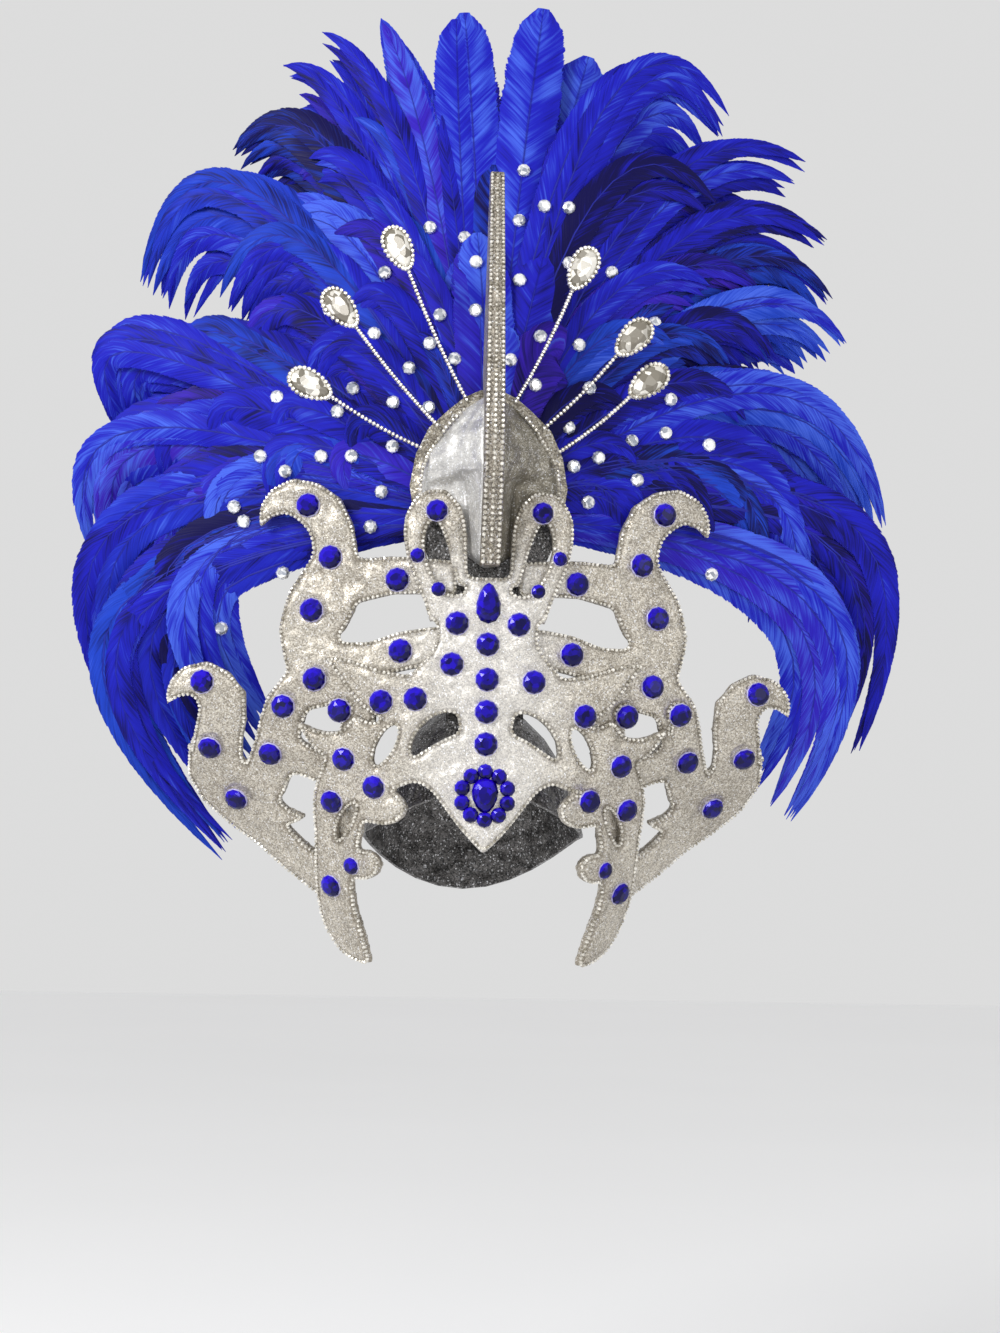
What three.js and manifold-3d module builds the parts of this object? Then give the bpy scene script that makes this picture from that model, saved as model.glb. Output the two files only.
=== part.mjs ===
// Showgirl feather headdress: a rigid cap that carries a pierced glitter front,
// two scroll plates, a keeled crest with an upright fin, crystal sprays and a
// fan of drooping plumes. Millimetres, +Z up, the front looks along -Y, and the
// origin is the middle of the head opening, a little above the brow.
import * as THREE from 'three';
import Module from 'manifold-3d';

const wasm = await Module();
wasm.setup();
const { Manifold, Mesh } = wasm;

// Driving sizes
const GAP = 0.3; // clearance between pieces that sit on each other
const FOAM = 5.5; // thickness of the foam front and scrolls
const BOARD = 3; // thickness of the crest board
const CAP_HALF_WIDTH = 82;
const CAP_HALF_DEPTH = 101;
const CAP_RISE = 127; // top of the cap over the head opening
const CAP_WALL = 2.5;
const FRONT_Y = -112; // face of the front panel at the middle
const CHEEK_REACH = 100; // half distance between the cheek pieces' middles
const COLUMN_RISE = 200; // height of the column's shoulders
const PANEL_BAND = 25; // usual width of a strand of the front panel
const SCROLL_REACH = 200; // half distance between the swan heads
const SCROLL_RISE = 250; // height of the scroll's horn shoulder
const SCROLL_BAND = 40; // full width of a scroll strand
const CREST_RISE = 333; // tip of the keeled shield
const CREST_FOOT = 213; // bottom of the keeled shield
const CREST_HALF = 49; // half width of the keeled shield
const CREST_WALL = 4; // foam of the keeled shield
const FIN_TOP = 484;
const FIN_HALF = 7; // half thickness of the fin
const CHAIN = 1.3; // radius of a cup chain
const CHAIN_INSET = 2.6; // chain's middle from a plate's edge
const STONE = 15; // width of the round blue stones
const STONE_RISE = 4;
const FAN_HEART = 245; // height the plumes spread from
const FAN_LENGTH = 350; // length of the longest plumes
const LOCK_WIDTH = 62; // widest part of one lock of plumes
const LOCK_HALF = 4; // half thickness of a lock
const BACKING = 4; // thickness of the plumes' backing
const FACET_STEP = 14; // width of the facets of the curved front

const SCROLL_FACE = FOAM + GAP; // depths behind the front face
const SCROLL_BACK = SCROLL_FACE + FOAM;
const BOARD_FACE = SCROLL_BACK + GAP;
const BOARD_BACK = BOARD_FACE + BOARD;
const BACKING_FACE = BOARD_BACK + GAP;

// Materials
const tint = (color, metalness, roughness) => new THREE.MeshStandardMaterial({ color, metalness, roughness });
const glitter = () => tint(0xc9c2b4, 0.6, 0.45);
const darkGlitter = () => tint(0x4a4846, 0.5, 0.55);
const crystalChain = () => tint(0xe6e3dc, 0.4, 0.2);
const blueStone = () => tint(0x1405b4, 0.1, 0.12);
const clearStone = () => tint(0xdfe3ea, 0.1, 0.08);
const plumeBlue = () => tint(0x2222bb, 0, 0.7);

// The front's curved face. It is nearly flat up in the crest and wraps round
// the head lower down; depth is measured inward from it.
const WRAP_START = 130;
const WRAP_CREST = 0.002;
const WRAP_BROW = 0.0055;
const WRAP_EASE = 200;
const CHEEK_SWEEP = 0.006;
// The scrolls part from the panel a little where both wrap round the head.
const PARTING = 1.1;
const PARTING_RUN = 60;
function faceY(x, z) {
  const low = Math.min(1.25, Math.max(0, (WRAP_START - z) / WRAP_START));
  const wrap = WRAP_CREST + WRAP_BROW * Math.pow(low, 1.5);
  const sweep = z < 0 ? CHEEK_SWEEP * z * z : 0;
  return FRONT_Y + (wrap * x * x) / (1 + (x / WRAP_EASE) ** 2) + sweep;
}
const HALF_STEP = 0.5; // slopes are taken over a millimetre
function drape(x, z, depth) {
  const slopeX = faceY(x + HALF_STEP, z) - faceY(x - HALF_STEP, z);
  const slopeZ = faceY(x, z + HALF_STEP) - faceY(x, z - HALF_STEP);
  const inward = new THREE.Vector3(-slopeX, 1, -slopeZ).normalize();
  const low = Math.min(1, Math.max(0, (WRAP_START - z) / PARTING_RUN));
  const apart = depth > FOAM + GAP / 2 ? PARTING * low : 0;
  return inward.multiplyScalar(depth + apart).add(new THREE.Vector3(x, faceY(x, z), z));
}

// Between three's geometry and the solid kernel
function toSolid(geometry) {
  const place = geometry.getAttribute('position');
  const index = geometry.getIndex();
  const seen = new Map();
  const points = [];
  const names = [];
  for (let i = 0; i < place.count; i += 1) {
    const p = [place.getX(i), place.getY(i), place.getZ(i)];
    const key = p.map((v) => Math.round(v * 1e4)).join(' ');
    if (!seen.has(key)) {
      seen.set(key, points.length / 3);
      points.push(...p);
    }
    names.push(seen.get(key));
  }
  const corners = index ? Array.from(index.array, (i) => names[i]) : names;
  const tris = [];
  for (let i = 0; i < corners.length; i += 3) {
    const [a, b, c] = [corners[i], corners[i + 1], corners[i + 2]];
    if (a !== b && b !== c && c !== a) tris.push(a, b, c);
  }
  const vertProperties = new Float32Array(points);
  return new Manifold(new Mesh({ numProp: 3, vertProperties, triVerts: new Uint32Array(tris) }));
}
const join = (solids) => Manifold.union(solids);
function fromSolid(solid) {
  const mesh = solid.getMesh();
  const points = [];
  for (let i = 0; i < mesh.numVert; i += 1) {
    points.push(Array.from(mesh.vertProperties.slice(i * mesh.numProp, i * mesh.numProp + 3)));
  }
  const tris = [];
  for (let i = 0; i < mesh.numTri; i += 1) tris.push(Array.from(mesh.triVerts.slice(3 * i, 3 * i + 3)));
  return { points, tris };
}
function toGeometry({ points, tris }) {
  const geometry = new THREE.BufferGeometry();
  geometry.setAttribute('position', new THREE.Float32BufferAttribute(points.flat(), 3));
  geometry.setIndex(tris.flat());
  return geometry;
}
// keeps the largest body of a cut solid
function mainBody(solid) {
  const bodies = solid.decompose();
  return bodies.reduce((a, b) => (b.volume() > a.volume() ? b : a));
}
// closed skin from rings of points that all have the same count
function skin(rings) {
  const count = rings[0].length;
  const points = rings.flat();
  const tris = [];
  for (let r = 0; r + 1 < rings.length; r += 1) {
    for (let i = 0; i < count; i += 1) {
      const a = r * count + i;
      const b = r * count + ((i + 1) % count);
      tris.push([a, b, a + count], [b, b + count, a + count]);
    }
  }
  const last = (rings.length - 1) * count;
  for (let i = 1; i + 1 < count; i += 1) tris.push([0, i + 1, i], [last, last + i, last + i + 1]);
  return { points, tris };
}
// the skin turned right way out, as a solid
function skinSolid(rings) {
  const made = skin(rings);
  let volume = 0;
  for (const [a, b, c] of made.tris) {
    const [p, q, r] = [a, b, c].map((i) => new THREE.Vector3(...made.points[i]));
    volume += p.dot(q.cross(r));
  }
  if (volume < 0) made.tris = made.tris.map(([a, b, c]) => [a, c, b]);
  return toSolid(toGeometry(made));
}

// Flat work: x across, y up the front, z the depth behind the face
function flatPlate(outline, from, to) {
  const shape = new THREE.Shape(outline.map(([x, z]) => new THREE.Vector2(x, z)));
  const slab = new THREE.ExtrudeGeometry(shape, { depth: to - from, bevelEnabled: false, curveSegments: 1 });
  slab.translate(0, 0, from);
  return toSolid(slab);
}
// a strand: middle line and widths through the rows of a table
function strand(rows, unit, from, to, side, fine = 2) {
  const line = new THREE.CatmullRomCurve3(
    rows.map((row) => new THREE.Vector3(side * row.x * unit.x, row.z * unit.z, row.w * unit.w)),
    false,
    'centripetal',
  );
  const steps = (rows.length - 1) * fine;
  const left = [];
  const right = [];
  for (let i = 0; i <= steps; i += 1) {
    const p = line.getPoint(i / steps);
    const way = line.getTangent(i / steps);
    const across = new THREE.Vector2(-way.y, way.x).normalize().multiplyScalar(Math.max(p.z, 0.6) / 2);
    left.push([p.x + across.x, p.y + across.y]);
    right.unshift([p.x - across.x, p.y - across.y]);
  }
  return flatPlate([...left, ...right], from, to);
}
// a form that is the same on both sides of the middle: half widths by height
function spindle(rows, unit, from, to, fine = 2) {
  const line = new THREE.CatmullRomCurve3(
    rows.map((row) => new THREE.Vector3(row.half * unit.x, row.z * unit.z, 0)),
    false,
    'centripetal',
  );
  const steps = (rows.length - 1) * fine;
  const edge = Array.from({ length: steps + 1 }, (_, i) => line.getPoint(i / steps));
  const outline = edge.map((p) => [Math.max(p.x, 0.3), p.y]);
  return flatPlate([...outline, ...outline.map(([x, z]) => [-x, z]).reverse()], from, to);
}
// Bends flat work to the face. It is first cut into strips at the same places
// in every piece, so that plates lying on each other keep their clearance.
const STRIP_CUTS = Array.from({ length: 36 }, (_, i) => (i - 17.5) * FACET_STEP);
const LEVEL_CUTS = [-40, -20, 0, 20, 40, 60, 80, 98, 114, 130];
function cutStrips(solid, axis, cuts) {
  const normal = [0, 0, 0];
  normal[axis] = 1;
  const inward = normal.map((v) => -v);
  const ends = [-Infinity, ...cuts, Infinity];
  return ends.slice(1).flatMap((to, i) => {
    const from = ends[i];
    let strip = Number.isFinite(from) ? solid.trimByPlane(normal, from) : solid;
    strip = Number.isFinite(to) ? strip.trimByPlane(inward, -to) : strip;
    if (strip.isEmpty()) return [];
    return [{ strip, from, to }];
  });
}
// one name for points that fall together
const WELD = 0.004;
function weld(points, tris) {
  const cells = new Map();
  const kept = [];
  const names = points.map((p) => {
    const cell = p.map((v) => Math.round(v / WELD / 4));
    for (const dx of [0, -1, 1]) {
      for (const dy of [0, -1, 1]) {
        for (const dz of [0, -1, 1]) {
          const near = cells.get(`${cell[0] + dx} ${cell[1] + dy} ${cell[2] + dz}`) ?? [];
          const same = near.find((i) => Math.hypot(...kept[i].map((v, k) => v - p[k])) < WELD);
          if (same !== undefined) return same;
        }
      }
    }
    const key = cell.join(' ');
    cells.set(key, [...(cells.get(key) ?? []), kept.length]);
    return kept.push(p) - 1;
  });
  const named = tris.map((tri) => tri.map((i) => names[i]));
  return { points: kept, tris: named.filter(([x, y, z]) => x !== y && y !== z && z !== x) };
}
// splits the triangles whose open edge has a neighbour's corner lying on it
function closeSeams({ points, tris }) {
  let work = tris;
  for (let pass = 0; pass < 8; pass += 1) {
    const edges = new Set(work.flatMap(([a, b, c]) => [`${a} ${b}`, `${b} ${c}`, `${c} ${a}`]));
    const open = (a, b) => !edges.has(`${b} ${a}`);
    const loose = new Set();
    for (const [a, b, c] of work) {
      for (const [p, q] of [[a, b], [b, c], [c, a]]) if (open(p, q)) loose.add(p).add(q);
    }
    if (loose.size === 0) break;
    work = work.flatMap((tri) => {
      for (let k = 0; k < 3; k += 1) {
        const [a, b, c] = [tri[k], tri[(k + 1) % 3], tri[(k + 2) % 3]];
        if (!open(a, b)) continue;
        const way = points[b].map((v, i) => v - points[a][i]);
        const long = Math.hypot(...way);
        for (const m of loose) {
          if (m === a || m === b || m === c) continue;
          const to = points[m].map((v, i) => v - points[a][i]);
          const along = to.reduce((sum, v, i) => sum + v * way[i], 0) / long;
          const off = Math.hypot(...to.map((v, i) => v - (way[i] * along) / long));
          if (along > WELD && along < long - WELD && off < WELD) return [[a, m, c], [m, b, c]];
        }
      }
      return [tri];
    });
  }
  return { points, tris: work };
}
function drapeSolid(solid) {
  const points = [];
  const tris = [];
  for (const column of cutStrips(solid, 0, STRIP_CUTS)) {
    for (const { strip, from, to } of cutStrips(column.strip, 1, LEVEL_CUTS)) {
      const piece = fromSolid(strip);
      const first = points.length;
      points.push(...piece.points);
      const onCut = (tri, axis, at) => tri.every((i) => Math.abs(piece.points[i][axis] - at) < 1e-3);
      const kept = piece.tris.filter((tri) => (
        ![[0, column.from], [0, column.to], [1, from], [1, to]].some(([axis, at]) => onCut(tri, axis, at))
      ));
      tris.push(...kept.map((tri) => tri.map((i) => first + i)));
    }
  }
  const whole = closeSeams(weld(points, tris));
  // depth grows inward, so the draped skin is turned over
  return toGeometry({
    points: whole.points.map(([x, z, d]) => drape(x, z, d).toArray()),
    tris: whole.tris.map(([p, q, r]) => [p, r, q]),
  });
}

// The edge of a flat solid's face, as a closed loop of [x, z] points
function faceEdge(solid, depth) {
  const { points, tris } = fromSolid(solid);
  const onFace = (i) => Math.abs(points[i][2] - depth) < 1e-3;
  const edges = new Map();
  for (const tri of tris.filter((t) => t.every(onFace))) {
    for (let k = 0; k < 3; k += 1) edges.set(`${tri[k]} ${tri[(k + 1) % 3]}`, [tri[k], tri[(k + 1) % 3]]);
  }
  const follow = new Map();
  for (const [a, b] of edges.values()) if (!edges.has(`${b} ${a}`)) follow.set(a, b);
  const loops = [];
  while (follow.size > 0) {
    const loop = [];
    let at = follow.keys().next().value;
    while (follow.has(at)) {
      loop.push(points[at]);
      const to = follow.get(at);
      follow.delete(at);
      at = to;
    }
    loops.push(loop.map(([x, z]) => new THREE.Vector3(x, z, 0)));
  }
  const area = (loop) => loop.reduce((sum, p, i) => {
    const q = loop[(i + 1) % loop.length];
    return sum + (p.x * q.y - q.x * p.y) / 2;
  }, 0);
  return loops.reduce((a, b) => (Math.abs(area(b)) > Math.abs(area(a)) ? b : a));
}
// evenly spaced points along a loop, drawn in from the edge and eased
const CHAIN_STEP = 13;
const CHAIN_EASE = 2;
function insetLoop(loop, inset) {
  const turn = loop.reduce((sum, p, i) => {
    const q = loop[(i + 1) % loop.length];
    return sum + (p.x * q.y - q.x * p.y);
  }, 0);
  const line = new THREE.CurvePath();
  loop.forEach((p, i) => line.add(new THREE.LineCurve3(p, loop[(i + 1) % loop.length])));
  const count = Math.round(line.getLength() / CHAIN_STEP);
  let beads = line.getSpacedPoints(count).slice(0, count);
  beads = beads.map((p, i) => {
    const before = beads[(i + count - 1) % count];
    const after = beads[(i + 1) % count];
    const way = after.clone().sub(before).normalize().multiplyScalar(turn > 0 ? inset : -inset);
    return new THREE.Vector3(p.x - way.y, p.y + way.x, 0);
  });
  for (let pass = 0; pass < CHAIN_EASE; pass += 1) {
    beads = beads.map((p, i) => {
      const pair = beads[(i + count - 1) % count].clone().add(beads[(i + 1) % count]);
      return p.clone().multiplyScalar(0.5).addScaledVector(pair, 0.25);
    });
  }
  return beads;
}
// a cord of round section swept through points
function cord(points, radius, steps, sides = 4, twist = Math.PI / 4) {
  const round = Array.from({ length: sides }, (_, i) => {
    const turn = (i / sides) * 2 * Math.PI + twist;
    return new THREE.Vector2(radius * Math.cos(turn), radius * Math.sin(turn));
  });
  const path = new THREE.CatmullRomCurve3(points, false, 'centripetal');
  return new THREE.ExtrudeGeometry(new THREE.Shape(round), { steps, extrudePath: path });
}
// a chain laid on a plate just inside its edge; its two ends stop short
const CHAIN_HOVER = 0.35; // room for the facets of the draped face
const CHAIN_LIFT = CHAIN + GAP + CHAIN_HOVER;
function edgeChain(solid, depth) {
  const beads = insetLoop(faceEdge(solid, depth), CHAIN_INSET);
  const laid = beads.map((p) => drape(p.x, p.y, depth - CHAIN_LIFT));
  return cord(laid, CHAIN, laid.length - 1);
}

// A cut stone lying on the face: back, girdle, 8 or more crown facets, table.
// point above 0 draws the outline to a point upward, below 0 downward.
const STONE_SEAT = -2 * GAP; // a stone's back lies this far off the face
const STONE_TABLE = 0.55;
const STONE_GIRDLE = 0.35;
function stoneRings({ width, height, rise, point, sides }, base) {
  const ring = (size, depth) => Array.from({ length: sides }, (_, i) => {
    const turn = (i / sides) * 2 * Math.PI;
    const narrow = 1 - Math.abs(point) * 0.5 * (1 + Math.sign(point) * Math.cos(turn));
    return [size * (width / 2) * Math.sin(turn) * narrow, size * (height / 2) * Math.cos(turn), depth];
  });
  return [
    ring(0.9, base),
    ring(1, base - STONE_GIRDLE * rise),
    ring(STONE_TABLE, base - rise),
  ];
}
function stoneSolid(x, z, size, base) {
  const full = { rise: STONE_RISE, point: 0, sides: 8, ...size };
  const rings = stoneRings(full, base).map((ring) => ring.map(([u, v, d]) => [x + u, z + v, d]));
  return skinSolid(rings);
}

const headdress = new THREE.Group();
headdress.name = 'feather_headdress';
function place(name, geometry, material) {
  const mesh = new THREE.Mesh(geometry, material);
  mesh.name = name;
  headdress.add(mesh);
  return mesh;
}
const SIDES = [
  { name: 'left', way: -1 },
  { name: 'right', way: 1 },
];

// Front panel: one sheet of foam cut as a column with swan-neck loops on top,
// wings, thorns and cheek pieces, pierced by six slots.
const PANEL_UNIT = { x: CHEEK_REACH, z: COLUMN_RISE, w: PANEL_BAND };
const COLUMN = [
  { z: 1.03, half: 0.16 },
  { z: 0.975, half: 0.16 },
  { z: 0.955, half: 0.36 },
  { z: 0.845, half: 0.345 },
  { z: 0.79, half: 0.36 },
  { z: 0.705, half: 0.5 },
  { z: 0.6, half: 0.62 },
  { z: 0.5, half: 0.68 },
  { z: 0.4, half: 0.66 },
  { z: 0.335, half: 0.6 },
  { z: 0.325, half: 0.46 },
  { z: 0.3, half: 0.37 },
  { z: 0.23, half: 0.26 },
  { z: 0.16, half: 0.15 },
  { z: 0.09, half: 0.01 },
];
const LOOP = [
  { x: 0.3, z: 0.9, w: 0.9 },
  { x: 0.38, z: 0.97, w: 0.62 },
  { x: 0.475, z: 1.06, w: 0.5 },
  { x: 0.515, z: 1.18, w: 0.62 },
  { x: 0.45, z: 1.265, w: 0.8 },
  { x: 0.34, z: 1.28, w: 0.85 },
  { x: 0.25, z: 1.21, w: 0.72 },
  { x: 0.21, z: 1.11, w: 0.5 },
  { x: 0.175, z: 1.0, w: 0.3 },
];
const WING = [
  { x: 0.5, z: 0.6, w: 1.4 },
  { x: 0.72, z: 0.63, w: 1.25 },
  { x: 0.85, z: 0.67, w: 0.95 },
  { x: 0.97, z: 0.715, w: 0.55 },
  { x: 1.11, z: 0.75, w: 0.04 },
];
const THORN = [
  { x: 0.7, z: 0.45, w: 1.3 },
  { x: 0.9, z: 0.445, w: 1.0 },
  { x: 1.08, z: 0.455, w: 0.65 },
  { x: 1.2, z: 0.49, w: 0.3 },
  { x: 1.29, z: 0.53, w: 0.03 },
];
const CHEEK = [
  { x: 0.76, z: 0.52, w: 1.2 },
  { x: 0.91, z: 0.39, w: 1.3 },
  { x: 0.98, z: 0.28, w: 1.42 },
  { x: 0.98, z: 0.15, w: 1.25 },
  { x: 1.0, z: 0, w: 0.98 },
  { x: 0.965, z: -0.12, w: 0.93 },
  { x: 0.88, z: -0.22, w: 0.78 },
  { x: 0.81, z: -0.27, w: 0.48 },
  { x: 0.735, z: -0.305, w: 0.04 },
];
const TEMPLE = [
  { x: 0.35, z: 0.5, w: 1.8 },
  { x: 0.65, z: 0.42, w: 1.9 },
  { x: 0.9, z: 0.36, w: 1.6 },
];
const HIGH_KNOB = [
  { x: 0.92, z: 0.26, w: 0.9 },
  { x: 0.76, z: 0.245, w: 0.93 },
  { x: 0.65, z: 0.238, w: 0.97 },
  { x: 0.56, z: 0.238, w: 0.6 },
  { x: 0.525, z: 0.238, w: 0.1 },
];
const LOW_KNOB = [
  { x: 0.95, z: 0.03, w: 0.6 },
  { x: 0.86, z: 0.04, w: 0.72 },
  { x: 0.79, z: 0.04, w: 0.84 },
  { x: 0.72, z: 0.04, w: 0.56 },
  { x: 0.69, z: 0.04, w: 0.1 },
];
const BROW_SLOT = [
  { x: 0.5, z: 0.41, w: 0.04 },
  { x: 0.45, z: 0.455, w: 0.42 },
  { x: 0.36, z: 0.5, w: 0.62 },
  { x: 0.27, z: 0.525, w: 0.64 },
  { x: 0.19, z: 0.53, w: 0.55 },
];
const SIDE_SLOT = [
  { x: 0.755, z: 0.375, w: 0.04 },
  { x: 0.7, z: 0.43, w: 0.42 },
  { x: 0.64, z: 0.49, w: 0.36 },
  { x: 0.6, z: 0.525, w: 0.04 },
];
const CHEEK_SLOT = [
  { x: 0.86, z: 0.258, w: 0.04 },
  { x: 0.91, z: 0.215, w: 0.32 },
  { x: 0.955, z: 0.165, w: 0.3 },
  { x: 0.985, z: 0.118, w: 0.04 },
];
const CUT_PAST = 1;
const panelStrands = [LOOP, WING, THORN, CHEEK, TEMPLE, HIGH_KNOB, LOW_KNOB];
const panelSlots = [BROW_SLOT, SIDE_SLOT, CHEEK_SLOT];
const panelSolid = join([
  spindle(COLUMN, PANEL_UNIT, 0, FOAM),
  ...SIDES.flatMap(({ way }) => panelStrands.map((rows) => strand(rows, PANEL_UNIT, 0, FOAM, way))),
]).subtract(join(SIDES.flatMap(({ way }) => panelSlots.map((rows) => (
  strand(rows, PANEL_UNIT, -CUT_PAST, FOAM + CUT_PAST, way)
)))));
place('front_panel', drapeSolid(panelSolid), glitter());
place('front_panel_chain', edgeChain(panelSolid, 0), crystalChain());

// Blue stones of the front panel; the two sides are not set alike.
const PANEL_STONES = [
  { x: -0.21, z: 0.87 }, { x: 0.21, z: 0.87 }, { x: 0, z: 0.8 }, { x: -0.24, z: 0.73 },
  { x: 0.32, z: 0.675 }, { x: 0, z: 0.68 }, { x: -0.48, z: 0.61 }, { x: -0.71, z: 0.6 },
  { x: 0.68, z: 0.565 }, { x: 0, z: 0.57 }, { x: 0, z: 0.46 }, { x: -0.95, z: 0.405 },
  { x: -0.74, z: 0.31 }, { x: -1.02, z: 0.26 }, { x: -0.87, z: 0.04, size: 0.75 },
  { x: -1.0, z: -0.03 }, { x: 0.95, z: 0.4 }, { x: 0.73, z: 0.275 }, { x: 1.01, z: 0.25 },
  { x: 0.87, z: 0.04, size: 0.75 }, { x: 1.0, z: -0.04 },
];
PANEL_STONES.forEach((row, i) => {
  const width = STONE * (row.size ?? 1);
  const solid = stoneSolid(row.x * CHEEK_REACH, row.z * COLUMN_RISE, { width, height: width }, STONE_SEAT);
  place(`front_stone_${i + 1}`, drapeSolid(solid), blueStone());
});
const DROP = { width: 17, height: 28, point: 0.45, sides: 12 };
const DROP_AT = 0.94; // share of the column's height
const dropStone = stoneSolid(0, DROP_AT * COLUMN_RISE, DROP, STONE_SEAT);
place('front_drop_stone', drapeSolid(dropStone), blueStone());
const LOOP_STONES = [
  { name: 'head', x: 0.36, z: 1.255, size: 0.92, base: STONE_SEAT },
  { name: 'neck', x: 0.48, z: 1.1, size: 0.62, base: -CHAIN_LIFT - CHAIN - GAP },
  { name: 'foot', x: 0.34, z: 0.985, size: 0.62, base: STONE_SEAT },
];
for (const { name, way } of SIDES) {
  for (const row of LOOP_STONES) {
    const width = STONE * row.size;
    const [x, z] = [way * row.x * CHEEK_REACH, row.z * COLUMN_RISE];
    const solid = stoneSolid(x, z, { width, height: width }, row.base);
    place(`loop_${row.name}_stone_${name}`, drapeSolid(solid), blueStone());
  }
}
// Brooch at the forehead point: a drop, point down, in a ring of round stones
const BROOCH_RISE = 57;
const BROOCH_RING = 14.2;
const BROOCH_STONES = 10;
const BROOCH_ROUND = 9.6;
const BROOCH_BACK = 1.4; // thickness of the brooch's round back
const BROOCH_HALF = 16;
const BROOCH_SIDES = 15;
const BROOCH_DROP = { width: 16, height: 21, point: -0.35, sides: 12, rise: 4.6 };
const broochDisc = Array.from({ length: BROOCH_SIDES }, (_, i) => {
  const turn = (i / BROOCH_SIDES) * 2 * Math.PI;
  return [BROOCH_HALF * Math.sin(turn), BROOCH_RISE + BROOCH_HALF * Math.cos(turn)];
});
const broochBase = STONE_SEAT - BROOCH_BACK + GAP;
const brooch = join([
  flatPlate(broochDisc, STONE_SEAT - BROOCH_BACK, STONE_SEAT),
  stoneSolid(0, BROOCH_RISE - 1, BROOCH_DROP, broochBase),
  ...Array.from({ length: BROOCH_STONES }, (_, i) => {
    const turn = (i / BROOCH_STONES) * 2 * Math.PI;
    const [x, z] = [BROOCH_RING * Math.sin(turn), BROOCH_RISE + BROOCH_RING * Math.cos(turn)];
    return stoneSolid(x, z, { width: BROOCH_ROUND, height: BROOCH_ROUND, rise: 3 }, broochBase);
  }),
]);
place('forehead_brooch', drapeSolid(brooch), blueStone());

// Scroll plates behind the front panel: horn, body, arm, leaf arm, swan's neck
// running into the lower stroke, and the strands that tie them together.
const SCROLL_UNIT = { x: SCROLL_REACH, z: SCROLL_RISE, w: SCROLL_BAND };
const HORN_BODY = [
  { x: 0.79, z: 0.96, w: 0.03 },
  { x: 0.765, z: 1.008, w: 0.32 },
  { x: 0.685, z: 1.044, w: 0.66 },
  { x: 0.575, z: 1.0, w: 0.78 },
  { x: 0.53, z: 0.888, w: 0.76 },
  { x: 0.57, z: 0.76, w: 1.18 },
  { x: 0.615, z: 0.67, w: 1.05 },
  { x: 0.58, z: 0.552, w: 0.9 },
  { x: 0.55, z: 0.46, w: 0.5 },
];
const ARM = [
  { x: 0.53, z: 0.8, w: 0.85 },
  { x: 0.33, z: 0.828, w: 0.66 },
  { x: 0.105, z: 0.82, w: 0.62 },
];
const LEAF_ARM = [
  { x: 0.57, z: 0.6, w: 0.6 },
  { x: 0.4, z: 0.595, w: 0.62 },
  { x: 0.295, z: 0.62, w: 0.68 },
  { x: 0.13, z: 0.64, w: 0.66 },
];
const SWAN = [
  { x: 1.095, z: 0.456, w: 0.03 },
  { x: 1.06, z: 0.51, w: 0.42 },
  { x: 0.98, z: 0.532, w: 0.74 },
  { x: 0.905, z: 0.475, w: 0.84 },
  { x: 0.92, z: 0.368, w: 0.84 },
  { x: 0.93, z: 0.28, w: 1.0 },
  { x: 0.855, z: 0.192, w: 0.85 },
  { x: 0.755, z: 0.112, w: 0.6 },
  { x: 0.645, z: 0.032, w: 0.55 },
  { x: 0.52, z: -0.035, w: 0.62 },
];
const MIDDLE_STRAND = [
  { x: 0.59, z: 0.56, w: 0.72 },
  { x: 0.685, z: 0.464, w: 0.76 },
  { x: 0.72, z: 0.352, w: 0.74 },
  { x: 0.765, z: 0.24, w: 0.8 },
  { x: 0.82, z: 0.19, w: 0.6 },
];
const CROSS_STRAND = [
  { x: 0.73, z: 0.336, w: 0.72 },
  { x: 0.61, z: 0.304, w: 0.54 },
  { x: 0.48, z: 0.265, w: 0.6 },
];
const TIE = [
  { x: 0.49, z: 0.6, w: 0.6 },
  { x: 0.44, z: 0.448, w: 0.6 },
  { x: 0.47, z: 0.248, w: 0.6 },
  { x: 0.5, z: 0.1, w: 0.5 },
  { x: 0.515, z: -0.02, w: 0.5 },
];
const INNER_THORN = [
  { x: 0.76, z: 0.175, w: 0.5 },
  { x: 0.69, z: 0.147, w: 0.3 },
  { x: 0.62, z: 0.15, w: 0.03 },
];
const scrollStrands = [HORN_BODY, ARM, LEAF_ARM, SWAN, MIDDLE_STRAND, CROSS_STRAND, TIE, INNER_THORN];
const SCROLL_STONES = [
  { x: 0.62, z: 1.02 }, { x: 0.54, z: 0.876 }, { x: 0.6, z: 0.73 }, { x: 0.585, z: 0.54 },
  { x: 0.69, z: 0.465 }, { x: 0.73, z: 0.335 }, { x: 0.97, z: 0.53 }, { x: 0.94, z: 0.35 },
  { x: 0.845, z: 0.21 }, { x: 0.295, z: 0.62 }, { x: 0.31, z: 0.815 }, { x: 0.497, z: 0.455 },
];
const STONE_SINK = 0.5; // how deep a scroll's stone sits in it
const SHADOW_MARGIN = 1;
const wider = (rows) => rows.map((row) => ({ ...row, w: row.w + (2 * SHADOW_MARGIN) / PANEL_BAND }));
const shadowOf = (rows, way) => strand(wider(rows), PANEL_UNIT, -CUT_PAST, SCROLL_BACK, way);
const widerColumn = COLUMN.map((row) => ({ ...row, half: row.half + SHADOW_MARGIN / CHEEK_REACH }));
const panelShadow = toSolid(drapeSolid(join([
  spindle(widerColumn, PANEL_UNIT, -CUT_PAST, SCROLL_BACK),
  ...SIDES.flatMap(({ way }) => panelStrands.map((rows) => shadowOf(rows, way))),
])));
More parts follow.
